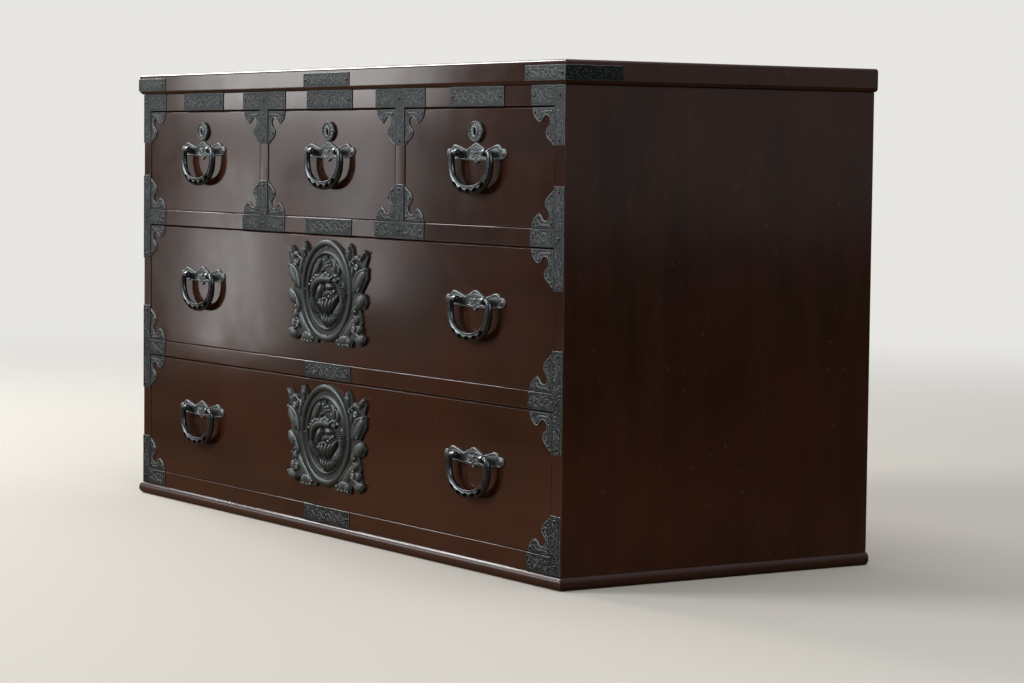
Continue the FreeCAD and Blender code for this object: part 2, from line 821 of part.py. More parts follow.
def drawer_box(label, across, up):
    """The two sides, the back and the bottom of a drawer, each a board of its own."""
    (left, right), (low, high) = across, up
    sides = cell("box_side_thickness")
    depths = (front_inner_y - cell("lap_depth"), box_back_y)
    bottom_top = low + cell("box_bottom_thickness")
    heights = (bottom_top, high - cell("box_top_setback"))
    back = (box_back_y - cell("box_back_thickness"), box_back_y)
    group(label, [
        block(f"{label}_left", (left, left + sides), depths, heights),
        block(f"{label}_right", (right - sides, right), depths, heights),
        block(f"{label}_back", (left + sides, right - sides), back, heights),
        block(f"{label}_bottom", across, depths, (low, bottom_top)),
    ])


def drawer(label, middle, opening_width, low, high, wide):
    """One drawer with its box, corner ornaments, handles, key plate or medallion, and lock."""
    half = opening_width / 2 - cell("drawer_side_gap")
    across = (middle - half, middle + half)
    up = (low + cell("drawer_floor_gap"), high - cell("drawer_top_gap"))
    centre = (low + high) / 2
    if wide:
        offset = cell("wide_handle_offset")
        handles = [("_left", middle - offset), ("_right", middle + offset)]
        handle_z = centre + cell("wide_handle_lift")
        key_z = centre + cell("medallion_lift") + cell("medallion_key_hole_lift")
    else:
        handles = [("", middle)]
        handle_z = centre + cell("small_handle_lift")
        key_z = handle_z + cell("key_plate_lift")
    bore_start = face_y - cell("medallion_rim_thickness") - cell("blossom_height")
    bore_end = front_inner_y + cell("lock_thickness") / 2
    drill = key_cutter(f"{label}_key_hole", middle, key_z, bore_start, bore_end)
    plates, eyes, slots = [], [], []
    for name, handle_x in handles:
        own_slots = []
        offset = cell("eye_offset")
        for side_name, eye_x in (("a", handle_x - offset), ("b", handle_x + offset)):
            own_slots.append(eye_slot(f"{label}_slot{name}_{side_name}", eye_x, handle_z))
            eyes.append(eye(f"{label}_eye{name}_{side_name}", eye_x, handle_z))
        plates.append(handle_plate(f"{label}_handle_plate{name}", handle_x, handle_z, own_slots))
        slots += own_slots
        bail(f"{label}_bail{name}", handle_x, handle_z)
    drawer_front(f"{label}_front", across, up, slots + [drill])
    drawer_box(f"{label}_box", across, up)
    inset = cell("ornament_inset")
    corners = []
    for x, across_sign in ((across[0] + inset, 1), (across[1] - inset, -1)):
        for z, up_sign in ((up[0] + inset, 1), (up[1] - inset, -1)):
            name = f"{label}_corner_{len(corners) + 1}"
            corners.append(ornament(name, (x, z), across_sign, up_sign))
    group(f"{label}_corners", corners)
    group(f"{label}_handle_plates", plates)
    group(f"{label}_eyes", eyes)
    if wide:
        medallion(f"{label}_medallion", middle, centre + cell("medallion_lift"), drill)
    else:
        key_plate(f"{label}_key_plate", middle, key_z, drill)
    lock(f"{label}_lock", middle, up[1] - cell("lock_top_setback"), drill)


# The chest put together

for rail_name, (rail_low, rail_high) in RAILS.items():
    rail(rail_name, rail_low, rail_high)
side("side_left", -1)
side("side_right", 1)
back_reach = inner_half + cell("groove_depth")
node("back_panel", block("back_panel_board", both_ways(back_reach), (panel_y, back_y), (floor_z, case_top)))
node("floor_board", dust_board("floor_board_panel", DUST_BOARDS["floor_board"]))
group("dust_boards", [
    dust_board(name, DUST_BOARDS[name]) for name in ("dust_board_lower", "dust_board_middle")
])
divider("divider_left", -1)
divider("divider_right", 1)
moulded_board(
    "top_board", case_top, cell("top_thickness"), cell("top_side_overhang"), cell("top_front_overhang"),
    cell("top_back_overhang"), [(True, cell("top_upper_round")), (False, cell("top_lower_round"))],
)
moulded_board(
    "base_board", ZERO, cell("base_thickness"), cell("base_side_overhang"), cell("base_front_overhang"),
    ZERO, [(True, cell("base_round")), (False, cell("base_round"))],
)
rail_plates()
group("corner_plates", [
    corner_plate(f"corner_plate_{name}_{level}", sign, upper)
    for name, sign in (("left", -1), ("right", 1)) for level, upper in (("low", False), ("high", True))
])
group("side_plates", [
    side_plate(f"side_plate_{name}_{level}", sign, low, high)
    for name, sign in (("left", -1), ("right", 1))
    for level, low, high in (
        ("low", lower_rail_low, lower_rail_top), ("high", middle_rail_low, middle_rail_top)
    )
])
group("divider_plates", [
    divider_plate(f"divider_plate_{name}_{level}", sign, upper)
    for name, sign in (("left", -1), ("right", 1)) for level, upper in (("low", False), ("high", True))
])
group("corner_caps", [corner_cap("corner_cap_left", -1), corner_cap("corner_cap_right", 1)])

for name, middle in (("left", -small_handle_step), ("middle", ZERO), ("right", small_handle_step)):
    drawer(f"small_drawer_{name}", middle, small_opening_width, middle_rail_top, top_rail_low, False)
drawer("wide_drawer_upper", ZERO, inner_half * 2, lower_rail_top, middle_rail_low, True)
drawer("wide_drawer_lower", ZERO, inner_half * 2, bottom_rail_top, lower_rail_low, True)

doc.recompute()
for thing in doc.Objects:
    if {"Invalid", "Error"} & set(thing.State):
        raise RuntimeError(f"{thing.Name} ({thing.Label}) failed: {thing.State}")
for name, thing in nodes.items():
    if thing.Shape.isNull() or not thing.Shape.isValid():
        raise RuntimeError(f"{name} has no valid shape")
for name, thing in nodes.items():
    thing.Shape.exportStep(f"parts/{name}.step")
print(len(nodes), "nodes written")
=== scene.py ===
"""A clothing chest in dark red lacquer with engraved iron fittings, dressed for its picture."""

import json
import math
import random

import bpy
from mathutils import Matrix, Vector


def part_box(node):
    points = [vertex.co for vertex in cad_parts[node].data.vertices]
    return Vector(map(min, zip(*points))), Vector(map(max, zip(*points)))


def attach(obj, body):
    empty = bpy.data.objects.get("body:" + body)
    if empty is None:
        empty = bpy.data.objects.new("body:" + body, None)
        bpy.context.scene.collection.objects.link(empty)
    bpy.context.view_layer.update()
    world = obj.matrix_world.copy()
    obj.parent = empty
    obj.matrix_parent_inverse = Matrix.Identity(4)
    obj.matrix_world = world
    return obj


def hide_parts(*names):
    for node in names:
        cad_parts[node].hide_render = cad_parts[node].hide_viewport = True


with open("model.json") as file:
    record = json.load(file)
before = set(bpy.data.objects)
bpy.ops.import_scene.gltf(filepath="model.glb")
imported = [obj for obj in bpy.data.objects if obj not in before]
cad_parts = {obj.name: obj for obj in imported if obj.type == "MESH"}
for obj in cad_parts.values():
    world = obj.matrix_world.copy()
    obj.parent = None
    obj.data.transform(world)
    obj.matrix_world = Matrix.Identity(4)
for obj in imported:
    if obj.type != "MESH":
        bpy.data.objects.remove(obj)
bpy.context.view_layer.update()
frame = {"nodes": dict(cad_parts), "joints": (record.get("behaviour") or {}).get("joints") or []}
mm = 0.001


# Case boards: sides, rails, dividers and the moulded top and base, of solid wood in dark red lacquer.
# They are tenoned and grooved together, and their arrises are softened by hand before the lacquer
# goes on, so that each edge catches a thin line of light.

LACQUER_DEEP = (0.0165, 0.0062, 0.0032, 1)
LACQUER_WARM = (0.0400, 0.0150, 0.0078, 1)
LACQUER_RED = (0.062, 0.0180, 0.0092, 1)
LACQUER_WORN = (0.105, 0.066, 0.054, 1)
RUBBED_BROWN = (0.045, 0.020, 0.015, 1)
LACQUER_GLOSS, WORN_GLOSS = 0.09, 0.26
LACQUER_GRAIN = 0.12
CASE_ARRIS = 0.9 * mm


def finish(name):
    """A new material with its node tree and shader."""
    made = bpy.data.materials.new(name)
    made.use_nodes = True
    return made, made.node_tree, made.node_tree.nodes["Principled BSDF"]


def node(tree, kind, **values):
    """A shader node with its settings and sockets filled in."""
    made = tree.nodes.new(f"ShaderNode{kind}")
    for key, value in values.items():
        if hasattr(made, key):
            setattr(made, key, value)
        else:
            made.inputs[key.replace("_", " ")].default_value = value
    return made


def object_noise(tree, stretch, scale, detail=4, roughness=0.55):
    """Noise on the piece's own coordinates, drawn out along its grain."""
    place = node(tree, "TexCoord")
    mapping = node(tree, "Mapping", Scale=stretch)
    noise = node(tree, "TexNoise", Scale=scale, Detail=detail, Roughness=roughness)
    tree.links.new(place.outputs["Object"], mapping.inputs["Vector"])
    tree.links.new(mapping.outputs["Vector"], noise.inputs["Vector"])
    return noise.outputs["Fac"]


def ramp(tree, value, stops):
    """A colour ramp over a value."""
    made = node(tree, "ValToRGB")
    made.color_ramp.elements[0].position, made.color_ramp.elements[0].color = stops[0]
    made.color_ramp.elements[1].position, made.color_ramp.elements[1].color = stops[-1]
    for position, colour in stops[1:-1]:
        made.color_ramp.elements.new(position).color = colour
    tree.links.new(value, made.inputs["Fac"])
    return made.outputs["Color"]


def grey(value):
    """A grey for a ramp or a colour socket."""
    return value, value, value, 1


def blended(tree, share, under, over):
    """Two colours mixed by a share."""
    made = node(tree, "Mix", data_type="RGBA")
    tree.links.new(share, made.inputs[0])
    for source, socket in ((under, made.inputs[6]), (over, made.inputs[7])):
        if isinstance(source, tuple):
            socket.default_value = source
        else:
            tree.links.new(source, socket)
    return made.outputs[2]


def bumped(tree, shader, heights):
    """Chains bumps of (height, strength, distance) into the shader's normal."""
    last = None
    for height, strength, distance in heights:
        made = node(tree, "Bump", Strength=strength, Distance=distance)
        tree.links.new(height, made.inputs["Height"])
        if last:
            tree.links.new(last, made.inputs["Normal"])
        last = made.outputs["Normal"]
    tree.links.new(last, shader.inputs["Normal"])


def lacquer(name, stretch, deep=LACQUER_DEEP, warm=LACQUER_WARM, gloss=LACQUER_GLOSS):
    """Dark red lacquer: a faint grain drawn out one way, redder clouds, rubbed smudges and pale specks."""
    made, tree, shader = finish(name)
    grain = object_noise(tree, stretch, 26, 7, 0.62)
    cloud = object_noise(tree, (1, 1, 1), 4.2, 4)
    redder = object_noise(tree, (1, 1, 1), 5.5, 3, 0.45)
    smudge = object_noise(tree, (1, 1, 1), 15, 5, 0.6)
    marks = object_noise(tree, (1, 1, 1), 85, 5, 0.72)
    colour = ramp(tree, grain, [(0.3, deep), (0.72, warm)])
    colour = blended(tree, ramp(tree, cloud, [(0.35, grey(0)), (0.72, grey(0.7))]), colour, warm)
    colour = blended(tree, ramp(tree, redder, [(0.42, grey(0)), (0.72, grey(0.5))]), colour, LACQUER_RED)
    colour = blended(tree, ramp(tree, marks, [(0.63, grey(0)), (0.74, grey(0.6))]), colour, LACQUER_WORN)
    tree.links.new(colour, shader.inputs["Base Color"])
    sheen = ramp(tree, smudge, [(0.3, grey(gloss)), (0.75, grey(gloss + 0.07))])
    tree.links.new(sheen, shader.inputs["Roughness"])
    bumped(tree, shader, [(grain, 0.05, 0.08 * mm), (cloud, 0.12, 1.0 * mm)])
    return made


lacquer_across = lacquer("red_lacquer_across", (LACQUER_GRAIN, 1, 1))
lacquer_upright = lacquer("red_lacquer_upright", (1, 1, LACQUER_GRAIN))
lacquer_worn = lacquer("worn_base_lacquer", (LACQUER_GRAIN, 1, 1), gloss=WORN_GLOSS)
lacquer_edge = lacquer("rubbed_lacquer_edge", (1, 1, 1), RUBBED_BROWN, LACQUER_WORN)


def only(piece):
    """Leaves one object selected and active."""
    bpy.ops.object.select_all(action="DESELECT")
    piece.select_set(True)
    bpy.context.view_layer.objects.active = piece


def paint(piece, *finishes):
    """Gives a piece its finishes, the first for its faces and a second for its rubbed edges."""
    piece.data.materials.clear()
    for made in finishes:
        piece.data.materials.append(made)
    return piece


def merged_copy(name, node_name, *finishes):
    """A copy of a CAD node's mesh with its loose triangles merged into flat faces."""
    piece = bpy.data.objects.new(name, frame["nodes"][node_name].data.copy())
    bpy.context.scene.collection.objects.link(piece)
    paint(piece, *finishes)
    only(piece)
    bpy.ops.object.mode_set(mode="EDIT")
    bpy.ops.mesh.select_all(action="SELECT")
    bpy.ops.mesh.remove_doubles(threshold=0.002 * mm)
    bpy.ops.mesh.dissolve_limited(angle_limit=math.radians(0.5))
    bpy.ops.mesh.normals_make_consistent(inside=False)
    bpy.ops.object.mode_set(mode="OBJECT")
    return piece


def softened(piece, width, segments=2, angle=35):
    """Rounds every sharp edge of a piece, with its second finish there, and keeps its flat faces flat."""
    only(piece)
    bpy.ops.object.modifier_add(type="BEVEL")
    bevel = piece.modifiers[-1]
    bevel.width, bevel.segments, bevel.limit_method = width, segments, "ANGLE"
    bevel.angle_limit, bevel.material = math.radians(angle), len(piece.data.materials) - 1
    bpy.ops.object.modifier_apply(modifier=bevel.name)
    bpy.ops.object.shade_smooth()
    bpy.ops.object.modifier_add(type="WEIGHTED_NORMAL")
    piece.modifiers[-1].weight = 100
    bpy.ops.object.modifier_apply(modifier=piece.modifiers[-1].name)
    return piece


def fitted(piece, body, slot, *replaced):
    """Gives a piece its body and hides the CAD nodes that it stands for; the slot is not used."""
    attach(piece, body)
    if replaced:
        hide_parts(*replaced)
    return piece


UPRIGHT_BOARDS = ("side_left", "side_right", "divider_left", "divider_right")
LEVEL_BOARDS = ("rail_bottom", "rail_lower", "rail_middle", "rail_top", "top_board", "base_board")
for board in UPRIGHT_BOARDS + LEVEL_BOARDS:
    face_finish = lacquer_upright if board in UPRIGHT_BOARDS else lacquer_across
    if board == "base_board":
        face_finish = lacquer_worn
    piece = softened(merged_copy(f"{board}_lacquered", board, face_finish, lacquer_edge), CASE_ARRIS)
    fitted(piece, "case", "lacquered_wood", board)


# Back panel, floor board and dust boards: thin plain planed boards that are never lacquered.
# They slide into grooves in the sides and close each drawer's space.

PALE_DARK = (0.40, 0.275, 0.165, 1)
PALE_LIGHT = (0.53, 0.39, 0.25, 1)
PALE_GRAIN = 0.10
THIN_ARRIS = 0.5 * mm


def pale_wood(name, stretch):
    """Plain pale wood with drawn-out growth lines and a matt planed surface."""
    made, tree, shader = finish(name)
    place = node(tree, "TexCoord")
    mapping = node(tree, "Mapping", Scale=stretch)
    lines = node(tree, "TexWave", bands_direction="Z", Scale=11, Distortion=16, Detail=4, Detail_Scale=1.6)
    tree.links.new(place.outputs["Object"], mapping.inputs["Vector"])
    tree.links.new(mapping.outputs["Vector"], lines.inputs["Vector"])
    fibre = object_noise(tree, stretch, 140, 6)
    cloud = object_noise(tree, stretch, 7, 3)
    colour = ramp(tree, lines.outputs["Fac"], [(0.0, PALE_DARK), (0.45, PALE_LIGHT)])
    colour = blended(tree, ramp(tree, cloud, [(0.35, grey(0.0)), (0.7, grey(0.8))]), colour, PALE_LIGHT)
    colour = blended(tree, ramp(tree, fibre, [(0.35, grey(0.5)), (0.65, grey(0.0))]), colour, PALE_DARK)
    tree.links.new(colour, shader.inputs["Base Color"])
    shader.inputs["Roughness"].default_value = 0.62
    bumped(tree, shader, [(fibre, 0.25, 0.3 * mm), (lines.outputs["Fac"], 0.12, 0.3 * mm)])
    return made


pale_across = pale_wood("pale_wood_across", (PALE_GRAIN, 1, 1))
pale_deep = pale_wood("pale_wood_deep", (1, PALE_GRAIN, 1))
for board in ("back_panel", "floor_board", "dust_boards"):
    piece = softened(merged_copy(f"{board}_planed", board, pale_across), THIN_ARRIS)
    fitted(piece, "case", "drawer_wood", board)


# Iron plates of the case: sheet iron cut to oblongs, angles and tees, blackened and engraved with a vine.
# Each covers a joint of the frame and is held by small round-headed nails.

IRON_DARK = (0.013, 0.0160, 0.0166, 1)
IRON_GREY = (0.074, 0.0865, 0.089, 1)
RUBBED_DARK = (0.060, 0.069, 0.071, 1)
RUBBED_BRIGHT = (0.26, 0.285, 0.29, 1)
VINE_DARK = (0.028, 0.033, 0.034, 1)
VINE_BRIGHT = (0.23, 0.25, 0.254, 1)
NAIL_DARK = (0.002, 0.0023, 0.0024, 1)
NAIL_GREY = (0.008, 0.009, 0.0095, 1)
SKIN_SCALE, MOTTLE_SCALE, STIPPLE_SCALE = 420, 22, 360
PLATE_ARRIS = 0.3 * mm
VINE_THICK = 0.32
VINE_FLAT = 0.6
CURL_POINTS = 6
TENDRILS = 2
STUD_RADIUS = 2.1 * mm
STUD_RISE = 1.2 * mm
STUD_INSET = 6
SHORTEST_VINE = 10


def iron(name, dark, light, gloss, metal, skin_strength, stippled=False):
    """Blackened iron with a fine skin, mottled between two greys, and a ground punched with dots if asked."""
    made, tree, shader = finish(name)
    skin = object_noise(tree, (1, 1, 1), SKIN_SCALE, 5, 0.6)
    cloud = object_noise(tree, (1, 1, 1), MOTTLE_SCALE, 4)
    colour = blended(tree, cloud, ramp(tree, skin, [(0.3, dark), (0.75, light)]), light)
    heights = [(skin, skin_strength, 0.25 * mm), (cloud, 0.3, 0.5 * mm)]
    if stippled:
        dots = node(tree, "TexVoronoi", Scale=STIPPLE_SCALE)
        tree.links.new(node(tree, "TexCoord").outputs["Object"], dots.inputs["Vector"])
        pits = ramp(tree, dots.outputs["Distance"], [(0.12, grey(0)), (0.5, grey(1))])
        colour = blended(tree, ramp(tree, pits, [(0.0, grey(0.0)), (1.0, grey(0.85))]), colour, dark)
        heights.append((pits, 0.8, -0.5 * mm))
    tree.links.new(colour, shader.inputs["Base Color"])
    rough = ramp(tree, skin, [(0.3, grey(gloss)), (0.75, grey(gloss + 0.16))])
    tree.links.new(rough, shader.inputs["Roughness"])
    shader.inputs["Metallic"].default_value = metal
    bumped(tree, shader, heights)
    return made


plate_iron = iron("engraved_iron", IRON_DARK, IRON_GREY, 0.34, 0.75, 0.4, stippled=True)
rubbed_iron = iron("rubbed_iron", RUBBED_DARK, RUBBED_BRIGHT, 0.34, 0.5, 0.3)
vine_iron = iron("vine_iron", VINE_DARK, VINE_BRIGHT, 0.34, 0.5, 0.3)
nail_iron = iron("nail_iron", NAIL_DARK, NAIL_GREY, 0.14, 0.0, 0.1)


def bars(name, lines, roundness, steps):
    """Round bars on the XZ plane, each along points of (x, z, half thickness) in millimetres."""
    bpy.ops.curve.primitive_nurbs_path_add(location=(0, 0, 0))
    piece = bpy.context.active_object
    piece.name = name
    curve = piece.data
    curve.splines.clear()
    curve.bevel_depth, curve.bevel_resolution, curve.use_fill_caps = mm, roundness, True
    for line in lines:
        spline = curve.splines.new("NURBS")
        spline.points.add(len(line) - 1)
        for point, (x, z, thick) in zip(spline.points, line):
            point.co, point.radius = (x * mm, 0, z * mm, 1), thick
        spline.order_u, spline.use_endpoint_u, spline.resolution_u = min(4, len(line)), True, steps
    only(piece)
    bpy.ops.object.convert(target="MESH")
    return bpy.context.active_object


def raised_lines(name, lines, plane, flat):
    """Raised lines on a plate, flattened towards it."""
    piece = bars(name, lines, 1, 3)
    piece.data.transform(Matrix.Translation((0, plane, 0)) @ Matrix.Diagonal((1, flat, 1, 1)))
    bpy.ops.object.shade_smooth()
    return paint(piece, rubbed_iron)


def joined(name, pieces):
    """Several meshes made one."""
    only(pieces[0])
    for piece in pieces:
        piece.select_set(True)
    bpy.ops.object.join()
    piece = bpy.context.active_object
    piece.name = name
    return piece


def copies(template, matrices, keep=False):
    """Copies of a small mesh, each moved and turned by its own matrix."""
    made = []
    for matrix in matrices:
        copy = bpy.data.objects.new(template.name, template.data.copy())
        copy.data.transform(matrix)
        bpy.context.scene.collection.objects.link(copy)
        made.append(copy)
    if not keep:
        bpy.data.objects.remove(template)
    return made


def stud(radius, rise, segments=12):
    """A round nail head at the origin that faces the front, flat behind."""
    bpy.ops.mesh.primitive_uv_sphere_add(
        segments=segments, ring_count=8, radius=radius, rotation=(math.pi / 2, 0, 0))
    piece = bpy.context.active_object
    bpy.ops.object.transform_apply(location=False, rotation=True, scale=False)
    bpy.ops.object.mode_set(mode="EDIT")
    bpy.ops.mesh.select_all(action="SELECT")
    bpy.ops.mesh.bisect(plane_co=(0, 0, 0), plane_no=(0, 1, 0), clear_outer=True, use_fill=True)
    bpy.ops.object.mode_set(mode="OBJECT")
    piece.data.transform(Matrix.Diagonal((1, rise / radius, 1, 1)))
    bpy.ops.object.shade_smooth_by_angle(angle=math.radians(50))
    return piece


def studs(places, plane, radius=STUD_RADIUS, rise=STUD_RISE):
    """Nail heads at places of (x, z) in millimetres on one plane."""
    spots = [Matrix.Translation((x * mm, plane, z * mm)) for x, z in places]
    return copies(paint(stud(radius, rise), nail_iron), spots)


def vine(left, right, low, high):
    """A wandering vine with curls and small tendrils, along the longer side of an oblong in millimetres."""
    upright = high - low > right - left
    length, height = (high - low, right - left) if upright else (right - left, high - low)
    waves = max(3, round(length / (height * 0.55)))
    step = 0.88 * length / waves
    middle_x, middle_z = (left + right) / 2, (low + high) / 2
    hand = random.Random(round(left * 7 + low * 13))

    def spot(along, aside, thick):
        x, z = (aside, along) if upright else (along, aside)
        return middle_x + x, middle_z + z, thick

    start = -0.44 * length
    swing = [hand.uniform(0.12, 0.26) * (1 if count % 2 else -1) for count in range(waves + 1)]
    stem = []
    for count in range(waves):
        for share in (0.0, 0.3, 0.6):
            aside = height * swing[count] * math.sin(math.pi * (0.1 + share))
            stem.append(spot(start + step * (count + share), aside, VINE_THICK))
    lines = [stem]
    for wave in range(waves):
        sign = 1 if swing[wave] < 0 else -1
        centre = start + step * (wave + hand.uniform(0.3, 0.7))
        full, turned = hand.uniform(0.16, 0.25), hand.uniform(-0.6, 0.4)
        curl = []
        for turn in range(CURL_POINTS):
            reach = height * full * (1 - 0.1 * turn)
            angle = turned + turn * 0.9
            aside = sign * (0.14 * height + reach * math.sin(angle))
            curl.append(spot(centre - reach * math.cos(angle), aside, VINE_THICK * (1.2 - 0.08 * turn)))
        lines.append(curl)
        for _ in range(TENDRILS):
            along, aside = centre + step * hand.uniform(-0.5, 0.5), height * hand.uniform(-0.36, 0.36)
            bend_x, bend_z = hand.uniform(-0.16, 0.16), hand.uniform(-0.12, 0.12)
            lines.append([
                spot(along, aside, VINE_THICK * 0.6),
                spot(along + height * bend_x, aside + height * bend_z * 0.4, VINE_THICK * 1.5),
                spot(along + height * bend_x * 1.2, aside + height * bend_z, VINE_THICK * 0.5),
            ])
    return lines


def box_of(piece):
    """Lowest and highest corners of a mesh, in millimetres."""
    points = [vertex.co for vertex in piece.data.vertices]
    low = [min(point[axis] for point in points) / mm for axis in range(3)]
    high = [max(point[axis] for point in points) / mm for axis in range(3)]
    return low, high


def node_box(name):
    """Lowest and highest corners of a CAD node, in millimetres."""
    return tuple([value / mm for value in corner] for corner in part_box(name))


def plates_of(node_name):
    """The separate plates of a CAD node."""
    piece = merged_copy(node_name + "_sheet", node_name, plate_iron, rubbed_iron)
    bpy.ops.object.mode_set(mode="EDIT")
    bpy.ops.mesh.select_all(action="SELECT")
    bpy.ops.mesh.separate(type="LOOSE")
    bpy.ops.object.mode_set(mode="OBJECT")
    return list(bpy.context.selected_objects)


def covers(low, high, board, axis):
    """Whether a plate covers a board's whole thickness along one axis."""
    board_low, board_high = board[0][axis], board[1][axis]
    shared = min(high[axis], board_high) - max(low[axis], board_low)
    return shared > 0.9 * (board_high - board_low)


def plate_layout(low, high):
    """The bands of a case plate that carry a vine, and its nails' places, in millimetres."""
    middle_x, middle_z = (low[0] + high[0]) / 2, (low[2] + high[2]) / 2
    posts = [post for post in POSTS if covers(low, high, post, 0)]
    if not posts:
        nails = [(low[0] + STUD_INSET, middle_z), (high[0] - STUD_INSET, middle_z), (middle_x, middle_z)]
        return [(low[0], high[0], low[2], high[2])], nails
    rail = [rail for rail in RAILS if covers(low, high, rail, 2)][0]
    rail_low, rail_high = max(low[2], rail[0][2]), min(high[2], rail[1][2])
    post_low, post_high = max(low[0], posts[0][0][0]), min(high[0], posts[0][1][0])
    bands, nails = [], []
    for left, right in ((low[0], post_low), (post_high, high[0])):
        if right - left > SHORTEST_VINE:
            bands.append((left, right, rail_low, rail_high))
            end = left + STUD_INSET if left == low[0] else right - STUD_INSET
            nails.append((end, (rail_low + rail_high) / 2))
    nails.append(((post_low + post_high) / 2, (rail_low + rail_high) / 2))
    for bottom, top in ((low[2], rail_low), (rail_high, high[2])):
        if top - bottom > SHORTEST_VINE:
            bands.append((post_low, post_high, bottom, top))
            end = bottom + STUD_INSET if bottom == low[2] else top - STUD_INSET
            nails.append(((post_low + post_high) / 2, end))
    return bands, nails


RAILS = [node_box(name) for name in ("rail_bottom", "rail_lower", "rail_middle", "rail_top")]
POSTS = [node_box(name) for name in ("side_left", "divider_left", "divider_right", "side_right")]
for node_name in ("rail_plates", "corner_plates", "side_plates", "divider_plates"):
    parts = []
    for plate in plates_of(node_name):
        low, high = box_of(plate)
        bands, nails = plate_layout(low, high)
        lines = [line for band in bands for line in vine(*band)]
        parts += [softened(plate, PLATE_ARRIS, 1)]
        parts += [paint(raised_lines("vine", lines, low[1] * mm, VINE_FLAT), vine_iron)]
        parts += studs(nails, low[1] * mm)
    fitted(joined(f"{node_name}_engraved", parts), "case", "iron_plate", node_name)


# Corner caps: strips of the same engraved sheet iron, bent round the front corners of the top board.
# Two nails hold each strip at the front, and two flat ones at the side.

SIDE_STUD_RADIUS, SIDE_STUD_RISE = 1.6 * mm, 0.05 * mm

parts = []
for plate in plates_of("corner_caps"):
    low, high = box_of(plate)
    middle = (low[2] + high[2]) / 2
    lines = vine(low[0] + 2, high[0] - 2, low[2], high[2])
    parts += [paint(raised_lines("vine", lines, low[1] * mm, VINE_FLAT), vine_iron)]
    parts += studs([(low[0] + STUD_INSET, middle), (high[0] - STUD_INSET, middle)], low[1] * mm)
    places = [(low[1] + STUD_INSET, middle), (high[1] - STUD_INSET, middle)]
    side = studs(places, 0, SIDE_STUD_RADIUS, SIDE_STUD_RISE)
    right_hand = low[0] > 0
    outer = high[0] if right_hand else low[0]
    onto_side = Matrix.Translation((outer * mm, 0, 0)) @ Matrix.Rotation(math.pi / 2, 4, "Z")
    for piece in side:
        if not right_hand:
            piece.data.transform(Matrix.Diagonal((1, -1, 1, 1)))
            piece.data.flip_normals()
        piece.data.transform(onto_side)
    parts += side + [softened(plate, PLATE_ARRIS, 1)]
fitted(joined("corner_caps_engraved", parts), "case", "iron_plate", "corner_caps")


# Drawers: a lacquered front lapped over a box of thin pale boards, nailed at the corners.
# The lock case is screwed behind the front, under its top edge.

DRAWERS = {
    "small_drawer_left": ("bail",), "small_drawer_middle": ("bail",), "small_drawer_right": ("bail",),
    "wide_drawer_upper": ("bail_left", "bail_right"), "wide_drawer_lower": ("bail_left", "bail_right"),
}
BOX_BOARD = 9
BOX_BOTTOM = 6
FRONT_ARRIS, LOCK_ARRIS = 0.35 * mm, 0.6 * mm
LOCK_BRASS = (0.42, 0.31, 0.13, 1)
LOCK_TARNISH = (0.13, 0.09, 0.04, 1)


def board_between(name, low, high, wood):
    """A thin board between two corners in millimetres, with softened arrises."""
    centre = [(a + b) / 2 * mm for a, b in zip(low, high)]
    size = [(b - a) * mm for a, b in zip(low, high)]
    bpy.ops.mesh.primitive_cube_add(size=1, location=centre, scale=size)
    piece = bpy.context.active_object
    piece.name = name
    bpy.ops.object.transform_apply(location=True, rotation=True, scale=True)
    return softened(paint(piece, wood), THIN_ARRIS)


def dull_brass():
    """Old brass, tarnished in patches."""
    made, tree, shader = finish("dull_brass")
    patches = object_noise(tree, (1, 1, 1), 90, 4)
    colour = ramp(tree, patches, [(0.3, LOCK_TARNISH), (0.7, LOCK_BRASS)])
    tree.links.new(colour, shader.inputs["Base Color"])
    tree.links.new(ramp(tree, patches, [(0.3, grey(0.6)), (0.7, grey(0.32))]), shader.inputs["Roughness"])
    shader.inputs["Metallic"].default_value = 0.9
    bumped(tree, shader, [(patches, 0.2, 0.3 * mm)])
    return made


lock_brass = dull_brass()
for drawer in DRAWERS:
    piece = merged_copy(f"{drawer}_front_lacquered", f"{drawer}_front", lacquer_across, lacquer_edge)
    fitted(softened(piece, FRONT_ARRIS, 2, 20), drawer, "lacquered_wood", f"{drawer}_front")
    (left, front, bottom), (right, back, top) = node_box(f"{drawer}_box")
    floor = bottom + BOX_BOTTOM
    inner_left, inner_right = left + BOX_BOARD, right - BOX_BOARD
    sides = [
        board_between("side", (left, front, floor), (inner_left, back, top), pale_deep),
        board_between("side", (inner_right, front, floor), (right, back, top), pale_deep),
    ]
    fitted(joined(f"{drawer}_box_sides", sides), drawer, "drawer_wood")
    flat = [
        board_between("back", (inner_left, back - BOX_BOARD, floor), (inner_right, back, top), pale_across),
        board_between("bottom", (left, front, bottom), (right, back, floor), pale_across),
    ]
    fitted(joined(f"{drawer}_box_floor", flat), drawer, "drawer_wood", f"{drawer}_box")
    piece = softened(merged_copy(f"{drawer}_lock_case", f"{drawer}_lock", lock_brass), LOCK_ARRIS)
    fitted(piece, drawer, "lock_brass", f"{drawer}_lock")


# Corner ornaments: scalloped leaves of sheet iron at each drawer's four corners, with a raised edge
# line, a curl in each lobe, small beads and five nails. They carry on the shapes of the plates beside them.

